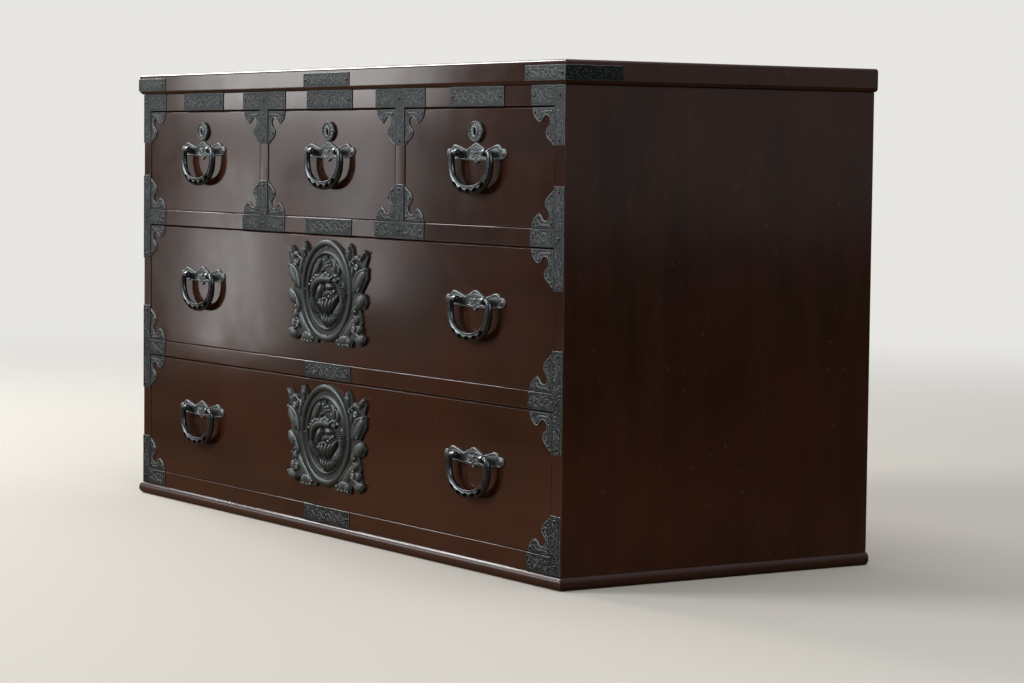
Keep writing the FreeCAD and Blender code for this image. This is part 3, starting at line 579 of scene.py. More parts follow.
ORNAMENT_EDGE = [
    (44, 1), (42.4, 8.2), (35.6, 13.4), (29.7, 16.0), (25.4, 13.4), (20.4, 7.8), (13.2, 7.2), (7.8, 12.4),
    (7.6, 18.9), (15.8, 25.0), (17.2, 29.0), (14.8, 33.0), (7.6, 37.6), (1, 43),
]
ORNAMENT_CURLS = [
    [(5, 3), (12, 4.6), (20, 3), (28, 5), (33, 9), (30, 12.5), (27, 10), (29, 8)],
    [(36, 3), (39, 5), (37, 9), (34, 8)],
    [(4, 20), (8, 24), (12, 27), (12, 31), (8, 32), (7, 29), (9.5, 27.5)],
    [(3, 33), (5, 37), (3, 40)],
    [(3, 8), (6, 5), (9, 3)],
    [(3, 12), (4.5, 16), (3, 19)],
]
ORNAMENT_NAILS = [(39.5, 5), (29.5, 12.5), (4, 38), (13.5, 29), (5, 5.5)]
ORNAMENT_BEADS = [
    (23.5, 9.2), (20, 5.6), (16.5, 4.6), (12.6, 4.6), (9, 6.6), (6, 9.6), (4.8, 13), (4.8, 17), (7.4, 21.6),
]
EDGE_THICK, CURL_THICK = 0.5, 0.42
ORNAMENT_STUD_RADIUS = 1.9 * mm
BEAD_RADIUS, BEAD_RISE = 0.8 * mm, 0.6 * mm

for drawer in DRAWERS:
    front_low, front_high = node_box(f"{drawer}_front")
    parts = []
    for plate in plates_of(f"{drawer}_corners"):
        low, high = box_of(plate)
        right_hand = low[0] > (front_low[0] + front_high[0]) / 2
        upper = low[2] > (front_low[2] + front_high[2]) / 2
        corner_x, sign_x = (high[0], -1) if right_hand else (low[0], 1)
        corner_z, sign_z = (high[2], -1) if upper else (low[2], 1)
        edge, *curls, nails, beads = [
            [(corner_x + sign_x * x, corner_z + sign_z * z) for x, z in points]
            for points in (ORNAMENT_EDGE, *ORNAMENT_CURLS, ORNAMENT_NAILS, ORNAMENT_BEADS)
        ]
        lines = [[(x, z, EDGE_THICK) for x, z in edge]]
        lines += [[(x, z, CURL_THICK) for x, z in curl] for curl in curls]
        plane = low[1] * mm
        parts += [softened(plate, PLATE_ARRIS, 1)]
        parts += [paint(raised_lines("curls", lines, plane, VINE_FLAT), vine_iron)]
        parts += studs(nails, plane, ORNAMENT_STUD_RADIUS)
        spots = [Matrix.Translation((x * mm, plane, z * mm)) for x, z in beads]
        parts += copies(paint(stud(BEAD_RADIUS, BEAD_RISE, 8), rubbed_iron), spots)
    fitted(joined(f"{drawer}_corners_engraved", parts), drawer, "iron_plate", f"{drawer}_corners")


# Handle plates: thick iron plates cut like a bat with a crest, two rounded wings and their tips, with a
# scrolled flower between the eyes. The eyes' straps pass through them and are clinched inside the drawer.

HANDLE_PLATE_EDGE = [
    (0, -13.5), (1.9, -12.6), (2.8, -10.6), (4.4, -9.8), (9, -9.3), (19.8, -9), (38, -8.4), (56, -7.5),
    (60, -6.6), (63.4, -5), (65.5, -2.6), (66, -0.2), (65.3, 2.4), (63.6, 4.2), (61.2, 4.9), (58.4, 4.6),
    (56, 4.8), (54.3, 6.2), (52.6, 7.9), (50.4, 9.2), (48, 9.8), (45.8, 9.9), (43.4, 9.4), (32, 6.3),
    (21.5, 3.5), (19.6, 3.4), (18.4, 4.8), (16.6, 5.8), (13.4, 6.8), (10.4, 8.2), (7.6, 9.4), (5, 10.6),
    (2.4, 11.5), (0, 11.75),
]
HANDLE_PLATE_THICK = 1.6 * mm
WING_LINES = [
    [(21, 2.3, 0.5), (32, 5.2, 0.8), (43, 8.3, 1.0), (47.6, 8.7, 1.1), (51, 7, 1.0), (54.4, 4.2, 0.8),
     (55.5, 2, 0.5)],
    [(56.5, 3.4, 0.7), (60.8, 3.7, 1.0), (64, 1.8, 1.1), (64.8, -1, 0.9), (62.6, -4.4, 0.6)],
    [(22, -7.6, 0.4), (38, -7.2, 0.6), (52, -6.4, 0.6), (57, -5.8, 0.4)],
]
FLOWER_LINES = [
    [(18.2, 3.6, 0.5), (15.8, 5.0, 0.7), (11.4, 6.4, 0.7), (7, 8.6, 0.7), (3, 10.4, 0.7), (0, 10.6, 0.8)],
    [(13.4, 4.0, 0.4), (9, 5.6, 0.6), (4.6, 5.8, 0.6), (1.6, 6.8, 0.6), (0, 7.6, 0.5)],
    [(4.6, -2.2, 0.5), (6, 0.9, 0.7), (9.4, 1.9, 0.8), (12.8, 0.4, 0.8), (13.4, -2.8, 0.7), (10.4, -4.9, 0.7),
     (6.6, -4.3, 0.7), (4.8, -2.0, 0.5)],
    [(8, -1.4, 0.5), (9.4, -0.6, 0.8), (10.8, -1.6, 0.5)],
    [(2.6, -7.2, 0.6), (6, -8.0, 0.8), (9, -7.4, 0.8), (12, -6.2, 0.8), (15, -5.9, 0.8), (18, -6.8, 0.7),
     (21, -8, 0.5)],
]
FLOWER_HEART = (0, 0.2, 2.1, 2.1, 2.2, 0)
HANDLE_BEADS = [
    (4, 9.0, 0.8), (7.2, 7.4, 0.8), (10.6, 5.6, 0.8), (16.8, 3.6, 1.6), (3.4, 1.2, 0.9), (2.6, -2.8, 0.9),
    (0.0, 3.2, 0.9), (0.0, -5.6, 1.3), (0.0, -11.6, 1.4), (49.5, 4.0, 1.2),
]
WING_SWELLS = [(38, -0.6, 15, 5.4, 0.7, 12), (60, -0.8, 4.6, 3.8, 1.3, 0)]
HANDLE_DARK = (0.020, 0.023, 0.024, 1)
HANDLE_GREY = (0.085, 0.096, 0.099, 1)
CUT_DARK = (0.030, 0.035, 0.0365, 1)
CUT_GREY = (0.074, 0.084, 0.087, 1)
# Painted shade: a near-black, matt iron with almost no specular, put inside the bails' hollows and over the
# key holes, where there is only shade.
PAINTED_SHADE_DARK = (0.002, 0.0022, 0.0024, 1)
PAINTED_SHADE_GREY = (0.006, 0.0065, 0.007, 1)
IRON_ARRIS = 0.4 * mm
handle_iron = iron("polished_handle_iron", HANDLE_DARK, HANDLE_GREY, 0.20, 0.9, 0.06)
cut_iron = iron("smooth_plate_iron", CUT_DARK, CUT_GREY, 0.34, 0.55, 0.12)
painted_shade_iron = iron("painted_shade_iron", PAINTED_SHADE_DARK, PAINTED_SHADE_GREY, 0.70, 0.0, 0.1)
painted_shade_shader = painted_shade_iron.node_tree.nodes["Principled BSDF"]
painted_shade_shader.inputs["Specular IOR Level"].default_value = 0.05


def cut_plate(name, edge, thickness, arris, *finishes):
    """A plate on the XZ plane that faces the front, from the right half of its outline in millimetres."""
    points = edge + [(-x, z) for x, z in edge[-2:0:-1]]
    bpy.ops.mesh.primitive_circle_add(vertices=len(points), fill_type="NGON", rotation=(math.pi / 2, 0, 0))
    piece = bpy.context.active_object
    piece.name = name
    bpy.ops.object.transform_apply(location=False, rotation=True, scale=False)
    for vertex, (x, z) in zip(piece.data.vertices, points):
        vertex.co = x * mm, 0, z * mm
    bpy.ops.object.mode_set(mode="EDIT")
    bpy.ops.mesh.select_all(action="SELECT")
    bpy.ops.mesh.extrude_region_move(TRANSFORM_OT_translate={"value": (0, -thickness, 0)})
    bpy.ops.mesh.select_all(action="SELECT")
    bpy.ops.mesh.normals_make_consistent(inside=False)
    bpy.ops.object.mode_set(mode="OBJECT")
    return softened(paint(piece, *finishes), arris, 2, 12)


def both_sides(lines):
    """Lines and their mirror image across the middle."""
    return lines + [[(-x, z, thick) for x, z, thick in line] for line in lines]


def dome(segments=16, rings=10):
    """A unit ball with its poles facing front and back."""
    bpy.ops.mesh.primitive_uv_sphere_add(
        segments=segments, ring_count=rings, radius=1, rotation=(math.pi / 2, 0, 0))
    piece = bpy.context.active_object
    bpy.ops.object.transform_apply(location=False, rotation=True, scale=False)
    bpy.ops.object.shade_smooth()
    return piece


def domes(template, shapes, finish_used):
    """Low domes of (x, z, half width, half height, rise, turn) in millimetres and degrees."""
    matrices = [
        Matrix.Translation((x * mm, 0, z * mm)) @ Matrix.Rotation(-math.radians(turn), 4, "Y")
        @ Matrix.Diagonal((wide * mm, rise * mm, tall * mm, 1))
        for x, z, wide, tall, rise, turn in shapes
    ]
    return copies(paint(template, finish_used), matrices)


def balls(places, flat=1.0):
    """Round domes from places of (x, z, radius)."""
    return [(x, z, size, size, size * flat, 0) for x, z, size in places]


def mirrored(shapes, middle=0):
    """Domes across an upright line from the ones given."""
    return [(2 * middle - x, z, wide, tall, rise, -turn) for x, z, wide, tall, rise, turn in shapes]


def lifted(pieces, height):
    """Pieces brought forward from the wall plane by a height in metres."""
    for piece in pieces:
        piece.data.transform(Matrix.Translation((0, -height, 0)))
    return pieces


beads = balls(HANDLE_BEADS)
beads = [FLOWER_HEART] + beads + mirrored([bead for bead in beads if bead[0]])
relief = domes(dome(12, 8), beads, rubbed_iron)
relief += domes(dome(24, 10), WING_SWELLS + mirrored(WING_SWELLS), cut_iron)
relief.append(raised_lines("scrolls", both_sides(WING_LINES) + both_sides(FLOWER_LINES), 0, 0.75))
bare = cut_plate("handle_plate", HANDLE_PLATE_EDGE, HANDLE_PLATE_THICK, IRON_ARRIS, cut_iron, rubbed_iron)
handle_plate = joined("handle_plate", [bare] + lifted(relief, HANDLE_PLATE_THICK))
handles = {joint["child"]: joint for joint in frame["joints"] if joint["type"] == "hinge"}
for drawer, bails in DRAWERS.items():
    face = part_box(f"{drawer}_front")[0].y
    spots = [handles[f"{drawer}_{bail}"]["pos_m"] for bail in bails]
    places = [Matrix.Translation((x, face, z)) for x, _, z in spots]
    piece = joined(f"{drawer}_handle_plates_scrolled", copies(handle_plate, places, keep=True))
    fitted(piece, drawer, "iron_plate", f"{drawer}_handle_plates")
    eyes = [softened(eye, IRON_ARRIS, 2) for eye in plates_of(f"{drawer}_eyes")]
    for eye in eyes:
        paint(eye, handle_iron, rubbed_iron)
    fitted(joined(f"{drawer}_eyes_forged", eyes), drawer, "iron_handle", f"{drawer}_eyes")
bpy.data.objects.remove(handle_plate)


# Bails: stout forged drop handles, thickest at the bottom, with a bright ridge along the inner edge and
# five hollows filed into the lower front. Each turns on two pins in its eyes, on its own body's joint.

BAIL_LINE = [
    (34.6, 0.2, 2.9), (38.4, 0.8, 3.6), (41.8, -1.8, 4.1), (43.3, -8, 4.4), (43.4, -16, 4.6),
    (41.6, -24.4, 4.8), (36.2, -33, 5.0), (26.6, -39.9, 5.2), (13.4, -43.8, 5.3), (0, -44.6, 5.3),
]
BAIL_FLAT = 0.83
RIDGE_LINE = [
    (39.2, -4.5, 0.5), (40.2, -9, 0.8), (40.2, -16, 0.9), (38.2, -23, 0.9), (33, -30.2, 1.0),
    (24, -36.2, 1.1), (12.4, -39.6, 1.2), (0, -40.4, 1.2),
]
RIDGE_PLANE = -3.2 * mm
HOLLOWS = [(-29.6, -38.4, -34), (-15.4, -43.8, -15), (0, -45.4, 0), (15.4, -43.8, 15), (29.6, -38.4, 34)]
HOLLOW_SHAPE = (5.8, 3.2, 3.6)
HOLLOW_PLANE = 4.6 * mm
PIN_INNER, PIN_OUTER, PIN_RADIUS = 26.1, 36, 2.35
PIN_HEAD = (36.4, 0.1, 3.3, 3.3, 3.4, 0)
PIN_ARRIS = 0.5 * mm


def whole_bow(half):
    """A bail's line from its right half."""
    return half + [(-x, z, thick) for x, z, thick in half[-2::-1]]


def bow(name, half, flat):
    """A bail's bar from the right half of its line, a little flattened."""
    piece = bars(name, [whole_bow(half)], 4, 6)
    piece.data.transform(Matrix.Diagonal((1, flat, 1, 1)))
    bpy.ops.object.mode_set(mode="EDIT")
    bpy.ops.mesh.select_all(action="SELECT")
    bpy.ops.mesh.remove_doubles(threshold=0.01 * mm)
    bpy.ops.mesh.normals_make_consistent(inside=False)
    bpy.ops.object.mode_set(mode="OBJECT")
    return paint(piece, handle_iron)


def hollowed(piece, cutter):
    """Cuts the hollows from a bar, with painted shade inside them, and rounds its look again."""
    only(piece)
    bpy.ops.object.modifier_add(type="BOOLEAN")
    cut = piece.modifiers[-1]
    cut.object, cut.operation, cut.solver, cut.material_mode = cutter, "DIFFERENCE", "EXACT", "TRANSFER"
    bpy.ops.object.modifier_apply(modifier=cut.name)
    bpy.data.objects.remove(cutter)
    only(piece)
    bpy.ops.object.shade_smooth_by_angle(angle=math.radians(38))
    return piece


def pin(sign):
    """A bail's pin on one side."""
    bpy.ops.mesh.primitive_cylinder_add(
        vertices=20, radius=PIN_RADIUS * mm, depth=(PIN_OUTER - PIN_INNER) * mm,
        location=(sign * (PIN_INNER + PIN_OUTER) / 2 * mm, 0, 0), rotation=(0, math.pi / 2, 0),
    )
    piece = bpy.context.active_object
    bpy.ops.object.transform_apply(location=True, rotation=True, scale=True)
    return softened(paint(piece, handle_iron), PIN_ARRIS, 2)


bar = bow("bail", BAIL_LINE, BAIL_FLAT)
# The cutters carry painted shade into the hollows: a near-black finish that stands for the shade in them.
cutters = domes(dome(16, 10), [(x, z, *HOLLOW_SHAPE, turn) for x, z, turn in HOLLOWS], painted_shade_iron)
bar = hollowed(bar, lifted([joined("hollows", cutters)], HOLLOW_PLANE)[0])
ridge = paint(raised_lines("ridge", [whole_bow(RIDGE_LINE)], RIDGE_PLANE, 0.7), cut_iron)
heads = domes(dome(16, 10), mirrored([PIN_HEAD]) + [PIN_HEAD], handle_iron)
bail_mesh = joined("bail", [bar, ridge] + heads + [pin(-1), pin(1)])
for name, joint in handles.items():
    piece = copies(bail_mesh, [Matrix.Translation(joint["pos_m"])], keep=True)[0]
    piece.name = f"{name}_forged"
    fitted(piece, name, "iron_handle", name)
bpy.data.objects.remove(bail_mesh)


# Key plates: small cast escutcheons on the upper drawers, with a rolled rim, a ring of petals and beads
# and a thick collar round a tall key hole. Two nails hold each.

KEY_RIM, KEY_COLLAR = (14.6, 11.8, 1.5), (4.6, 6.0, 1.2)
KEY_PLATE_THICK, KEY_BOSS = 2 * mm, 3.6 * mm
KEY_ARRIS = 0.5 * mm
KEY_PETALS = 12
PETAL_OVAL, PETAL_SHAPE = (9.6, 8.4), (2.7, 1.5, 1.5)
KEY_BEAD_OVAL, KEY_BEAD_SHAPE, KEY_BEAD_TURN = (12.4, 10.2), (0.8, 0.8, 0.9), 0.26
KEY_FIELD = (0, 0, 14.4, 11.6, 1.1, 0)
KEY_NAIL = (13.6, -1.0, 1.2, 1.2, 1.7, 0)
# KEY_HOLE is painted shade: a near-black dome that stands for the key hole's shade.
KEY_HOLE = (0, 0, 3.2, 4.8, 0.9, 0)


def on_oval(oval, turn):
    """A place of (x, z) on an oval."""
    return oval[0] * math.cos(turn), oval[1] * math.sin(turn)


def ring(wide, tall, thick, corners=16):
    """A closed raised line round an oval."""
    turns = [2 * math.pi * count / corners for count in range(corners + 1)]
    return [(*on_oval((wide, tall), turn), thick) for turn in turns]


CAST_DARK = (0.013, 0.0160, 0.0155, 1)
CAST_GREY = (0.044, 0.0525, 0.0515, 1)
CAST_HIGH = (0.082, 0.096, 0.0945, 1)
cast_iron = iron("cast_iron", CAST_DARK, CAST_GREY, 0.34, 0.5, 0.25)
raised_iron = iron("raised_cast_iron", CAST_GREY, CAST_HIGH, 0.44, 0.35, 0.7, stippled=True)
petals = []
for count in range(KEY_PETALS):
    turn = 2 * math.pi * (count + 0.5) / KEY_PETALS
    x, z = on_oval(PETAL_OVAL, turn)
    petals.append((x, z, *PETAL_SHAPE, math.degrees(math.atan2(z, x))))
    petals.append((*on_oval(KEY_BEAD_OVAL, turn + KEY_BEAD_TURN), *KEY_BEAD_SHAPE, 0))
relief = domes(dome(10, 8), petals, rubbed_iron)
relief += [paint(raised_lines("rim", [ring(*KEY_RIM)], 0, 1.3), cut_iron)]
relief += domes(dome(32, 8), [KEY_FIELD], cast_iron)
relief += domes(dome(10, 8), mirrored([KEY_NAIL]) + [KEY_NAIL], nail_iron)
relief = lifted(relief, KEY_PLATE_THICK)
relief.append(raised_lines("collar", [ring(*KEY_COLLAR)], -KEY_BOSS, 0.8))
# The key hole is painted shade: a near-black dome on the collar, not a cut hole.
relief += lifted(domes(dome(16, 8), [KEY_HOLE], painted_shade_iron), KEY_BOSS)
escutcheon = joined("escutcheon", relief)
for drawer in ("small_drawer_left", "small_drawer_middle", "small_drawer_right"):
    plate_name = f"{drawer}_key_plate"
    (left, _, bottom), (right, back, top) = node_box(plate_name)
    spot = Matrix.Translation(((left + right) / 2 * mm, back * mm, (bottom + top) / 2 * mm))
    plate = softened(merged_copy("plate", plate_name, cast_iron, cut_iron), KEY_ARRIS, 2, 25)
    piece = joined(f"{plate_name}_cast", [plate] + copies(escutcheon, [spot], keep=True))
    fitted(piece, drawer, "iron_plate", plate_name)
bpy.data.objects.remove(escutcheon)


# Medallions: cast round plates in two raised rims, with a peony on the field, a beaded leaf wreath over
# it and curling leaves at both sides. The key slot is at the top of the field.

MEDALLION_RADIUS, BAND_RADIUS, BLOSSOM_RADIUS = 66, 56, 24.5
FIELD_THICK, BAND_THICK, LEAF_THICK = 1.6, 2.6, 2.8
RIMS = {"outer_rim": (61.6, 4.4, 2.9, -2.6), "inner_rim": (49, 2.2, 1.9, -2.2)}
CAST_ARRIS = 0.5 * mm
ARCH = [
    [(-38, -10, 2.6), (-38.5, -2, 4.4), (-35, 6, 5.2), (-26, 12, 5.4), (-14, 15.4, 5.4), (0, 16, 5.4),
     (12, 15, 4.2)],
    [(16, 13.4, 3.0), (21, 14.4, 4.6), (27, 13.6, 3.2)],
    [(-16, -10, 2.0), (-8, -5.4, 3.4), (2, -2.2, 4.0), (12, -0.8, 3.8), (22, 1.4, 1.8)],
]
PEONY = [
    (-14.6, -2.4, 7.8, 13.0, 7.4, -14), (9.4, 5.4, 11.2, 5.6, 6.8, 0),
    (-12.4, -17.5, 4.4, 9.5, 5.2, 26), (-5.4, -19.5, 4.6, 10.8, 5.8, 12), (3, -20, 4.8, 11.2, 6.2, 0),
    (11.4, -18.6, 4.8, 11.2, 6.0, -12), (19, -15, 4.6, 10.6, 5.4, -28), (25, -9.4, 3.8, 8.4, 4.6, -44),
]
RIB_MIDDLE, RIB_REACH = (3, -5), (41, 28)
RIB_COUNT, RIB_HALF, RIB_LEAN = 9, 1.5, 0.8
RIB_BEDS = [(42, 1.5, 8.6, 13, 4.6, 8), (30, -27, 15, 7.6, 4.0, 42), (-24, -27, 15, 7.6, 4.0, -42)]
# KEY_SLOT is painted shade: a near-black dome laid over the key slot.
KEY_SLOT = (1.4, 44.6, 2.6, 4.2, 0.6, 0)
BAND_NAIL = (1.5, 1.5, 1.9, 0)
BEAD_FLAT = 0.95
LOW_PETALS = [
    (-9, -37.4, 3.6, 8.2, 4.2, 26), (-3.4, -38.8, 3.6, 8.4, 4.8, 10), (3, -39.6, 3.8, 8.6, 5.0, 2),
    (9.6, -39.6, 3.8, 8.6, 5.0, -4), (16, -38.2, 3.8, 8.4, 4.8, -14),
    (22.2, -36.0, 3.6, 8.0, 4.2, -28),
]
CROWN_BEADS = [
    (-42, 7, 1.9), (-37, 11.4, 2.0), (-31, 15.6, 2.2), (-25, 18.8, 2.2), (-18, 19.2, 2.0),
    (-6, 19.8, 2.6), (1, 22.4, 2.2), (8, 20.4, 2.4), (15.6, 18.2, 2.0), (20, 20.6, 1.9),
    (26, 20.2, 2.2), (33.4, 17, 2.0),
]
FOLD_BEADS = [
    (-17, -16.4, 1.7), (-11.4, -12.2, 2.0), (-5, -10, 1.9), (1.4, -9.2, 1.8), (5.4, -11.6, 1.7),
    (10.4, -6.6, 2.0), (16.4, -3.0, 1.8), (22.6, -0.4, 1.7), (-4, -1.4, 1.0), (3, 1.0, 1.0),
    (9, 1.6, 1.0),
]
LEAF_BEADS_ABOVE = [
    (-7, 39.6, 2.2), (-1.6, 36.2, 1.9), (4.4, 37.4, 1.8), (1.6, 32.6, 1.8), (-3.4, 31.6, 1.5),
    (8, 33.4, 1.5), (14.4, 28, 1.9),
]
LEAVES_ABOVE = [
    (-27, 29, 17, 6.4, 3.6, 50), (-37, 15, 8, 3.4, 2.8, 68), (-13, 26, 6.4, 2.2, 2.6, 24),
    (21, 33, 5.4, 10, 3.6, 4), (31, 28.5, 4.6, 9.4, 3.4, -14),
]
LEAF_CURLS_ABOVE = [
    [(-20, 38, 0.5), (-27, 33, 0.9), (-34, 23, 0.9), (-38, 13, 0.5)],
    [(-17, 36, 0.4), (-24, 29, 0.8), (-31, 21, 0.5)],
    [(17, 41, 0.5), (22, 39, 0.9), (24, 33, 0.9), (23, 26, 0.5)],
    [(28, 36, 0.5), (33, 33, 0.9), (34, 26, 0.5)],
]
SIDE_LOBES = [
    (57.5, 50, 3.9, 10, 4.2, 10), (66, 39, 7, 3.2, 3.6, 18), (80, 44.5, 8.6, 4.0, 4.6, -8),
    (94, 48.6, 7.6, 4.2, 4.4, 40), (78, 33, 5.4, 5.0, 3.4, 0), (68, 27, 3.0, 8.0, 3.2, 0),
    (87, 16, 18.5, 8.2, 5.2, 52), (76, 10, 12.5, 3.8, 3.4, 62), (88, -10.5, 13.4, 8.6, 5.2, 36),
    (75, -20, 10.5, 4.2, 3.8, 62), (79, -33, 6.6, 5.8, 4.4, 30), (73, -44, 5.8, 5.4, 3.6, 0),
    (85, -47, 5.2, 8.2, 4.6, -30), (88, -58.4, 11.6, 7.2, 4.8, 10), (58, -47, 22, 7.6, 3.4, 42),
    (47, -60, 14, 7.2, 3.8, 16), (57, -62, 7.6, 6.6, 3.6, 0),
]
SIDE_VEINS = [
    [(55, 43, 0.4), (57.5, 50, 0.8), (59.5, 58, 0.5)],
    [(62, 37, 0.5), (68, 42, 1.0), (76, 44.5, 1.1), (84, 47.5, 0.6)],
    [(86, 41, 0.5), (92, 46.6, 0.9), (99, 53, 0.6)],
    [(70, 2, 0.5), (71, 14, 1.0), (77, 24.6, 1.1), (88, 30.4, 1.1), (99, 31, 0.6)],
    [(70, -24, 0.5), (75, -10, 1.0), (84, -3, 1.1), (95, -2.4, 0.6)],
    [(66, -30, 0.5), (54, -44, 1.0), (38, -56, 0.6)],
    [(36, -60, 0.5), (46, -55, 0.8), (56, -57, 0.5)],
    [(76, -50, 0.5), (84, -53, 1.0), (97, -55.4, 0.6)],
    [(79, -43, 0.5), (84, -39.4, 0.9), (89, -43, 0.5)],
]
SIDE_RINGS = [
    (80, 33.6, 3.6, 3.0, 1.1), (73.4, -46, 3.2, 3.4, 1.1), (86, 16, 2.4, 2.0, 0.7),
    (85, 7, 2.0, 1.6, 0.6), (84, -13, 2.4, 2.0, 0.7),
]
SIDE_BEADS = [
    (54, 52.6, 1.4), (60.4, 52.4, 1.5), (64, 35, 1.6), (72, 38, 1.5), (88, 42.4, 1.6), (80, 33.6, 1.3),
    (73.4, -46, 1.4), (77.6, -23, 1.8), (76.4, -29, 1.5), (80, -34, 1.6), (75, -39.4, 1.8),
    (86.6, -29, 1.4), (84, 10, 1.3), (83, 3.4, 1.4), (96.6, -54.6, 1.8), (33, -62.4, 1.7),
    (41.4, -60, 1.3), (37.6, -67, 1.5), (46.4, -67.4, 1.6), (54, -66.6, 1.5), (60, -67, 1.4),
    (58.6, 58.6, 1.5), (99, 52.6, 1.6), (98, 31, 1.6),
]


def ribbed(start, end, tall, rise):
    """A crescent of narrow ribs between two angles round the peony."""
    shapes = []
    for rib in range(RIB_COUNT):
        share = rib / (RIB_COUNT - 1)
        x, z = on_oval(RIB_REACH, math.radians(start + (end - start) * share))
        spot = RIB_MIDDLE[0] + x, RIB_MIDDLE[1] + z
        full = math.sin(math.pi * (0.2 + 0.6 * share))
        lean = RIB_LEAN * math.degrees(math.atan2(z, x))
        shapes.append((*spot, tall * full, RIB_HALF, rise * (0.7 + 0.3 * full), lean))
    return shapes


def rim(name, radius, thick, rise, plane):
    """A rolled rim."""
    bpy.ops.mesh.primitive_torus_add(
        major_radius=radius * mm, minor_radius=thick * mm, major_segments=96, minor_segments=14,
        rotation=(math.pi / 2, 0, 0),
    )
    piece = bpy.context.active_object
    piece.name = name
    bpy.ops.object.transform_apply(location=False, rotation=True, scale=False)
    piece.data.transform(Matrix.Translation((0, plane * mm, 0)) @ Matrix.Diagonal((1, rise / thick, 1, 1)))
    bpy.ops.object.shade_smooth()
    return piece


ribs = ribbed(-10, 32, 10.4, 7.0) + ribbed(-58, -16, 9.4, 6.2)
ribs += mirrored(ribbed(-58, -14, 9.4, 6.2), RIB_MIDDLE[0])
nail_places = [on_oval((BAND_RADIUS, BAND_RADIUS), math.radians(turn)) for turn in (0, 90, 180, 270)]
band_nails = [(x, z, *BAND_NAIL) for x, z in nail_places]
side_beads = balls(SIDE_BEADS, BEAD_FLAT)
rings = []
for x, z, wide, tall, half in SIDE_RINGS + [(-x, *rest) for x, *rest in SIDE_RINGS]:
    rings.append([(x + aside, z + up, thick) for aside, up, thick in ring(wide, tall, half, 10)])

# Each layer stands at its height over the plate's back, in millimetres.
layers = [
    (domes(dome(24, 12), PEONY + LOW_PETALS + RIB_BEDS, cast_iron), FIELD_THICK),
    ([paint(raised_lines("arch", ARCH, 0, 0.95), raised_iron)], FIELD_THICK + 0.6),
    (domes(dome(10, 8), ribs, raised_iron), FIELD_THICK),
    (domes(dome(20, 10), LEAVES_ABOVE, raised_iron), FIELD_THICK),
    ([raised_lines("curls_above", LEAF_CURLS_ABOVE, 0, 0.8)], FIELD_THICK + 3.2),
    # The key slot is painted shade: a near-black dome over the slot.
    (domes(dome(12, 8), [KEY_SLOT], painted_shade_iron), FIELD_THICK),
    (domes(dome(10, 8), balls(CROWN_BEADS, BEAD_FLAT), rubbed_iron), FIELD_THICK + 3.0),
    (domes(dome(10, 8), balls(LEAF_BEADS_ABOVE, BEAD_FLAT), rubbed_iron), FIELD_THICK + 0.8),
    (domes(dome(10, 8), balls(FOLD_BEADS, BEAD_FLAT), rubbed_iron), FIELD_THICK + 3.8),
    (domes(dome(10, 8), band_nails, rubbed_iron), BAND_THICK),
    (domes(dome(10, 8), side_beads + mirrored(side_beads), rubbed_iron), LEAF_THICK + 2.4),
    (domes(dome(20, 10), SIDE_LOBES + mirrored(SIDE_LOBES), raised_iron), LEAF_THICK - 0.4),
    ([raised_lines("veins", both_sides(SIDE_VEINS), 0, 0.8)], LEAF_THICK + 2.6),
    ([raised_lines("rings", rings, 0, 0.8)], LEAF_THICK + 2.8),
    ([paint(rim(name, *sizes), cast_iron) for name, sizes in RIMS.items()], 0),
]
relief = []
for pieces, height in layers:
    relief += lifted(pieces, height * mm)
peony = joined("peony", relief)
for drawer in ("wide_drawer_upper", "wide_drawer_lower"):
    plate_name = f"{drawer}_medallion"
    (left, _, _), (right, back, top) = node_box(plate_name)
    middle = Vector(((left + right) / 2, back, top - MEDALLION_RADIUS)) * mm
    plate = merged_copy("cast_plate", plate_name, cast_iron, cast_iron)
    for vertex in plate.data.vertices:
        if math.hypot(vertex.co.x - middle.x, vertex.co.z - middle.z) < BLOSSOM_RADIUS * mm:
            vertex.co.y = max(vertex.co.y, middle.y - FIELD_THICK * mm)
    plate = softened(plate, CAST_ARRIS, 2, 30)
    flower = copies(peony, [Matrix.Translation(middle)], keep=True)
    piece = joined(f"{plate_name}_cast", [plate] + flower)
    fitted(piece, drawer, "iron_plate", plate_name)
bpy.data.objects.remove(peony)


# Floor, light and camera: a plain pale floor and backdrop, soft lamps, most of them at the left front, and
# lit panels there that the lacquer mirrors. The camera stands at the right front, a little lower than
# the top board.

CAMERA_PLACE = (3.25164, -2.05041, 0.49760)
CAMERA_AZIMUTH = math.radians(-57.0402)
CAMERA_ELEVATION = math.radians(-3.7272)
CAMERA_ROLL = math.radians(0.6192)
FOCAL_PIXELS = 2890.25
IMAGE_WIDTH = 1024
FLOOR_SIDE, FLOOR_MIDDLE = 16, (-1.2, 2.0, 0)
FLOOR_SEEN = (0.61, 0.575, 0.51, 1)
# For the rays that light or mirror the chest, the floor is a dark warm brown that grows darker farther from
# the chest. This is painted shade, standing for a shadowed floor that the lacquer mirrors.
FLOOR_SHADED_NEAR = (0.19, 0.112, 0.068, 1)
FLOOR_SHADED_FAR = (0.055, 0.036, 0.022, 1)
BACKDROP = (0.80, 0.79, 0.76, 1)
SKY_LIGHT = (0.90, 0.93, 1.0, 1)
WINDOW_PLANE, WALL_PLANE = -1.724, -1.80

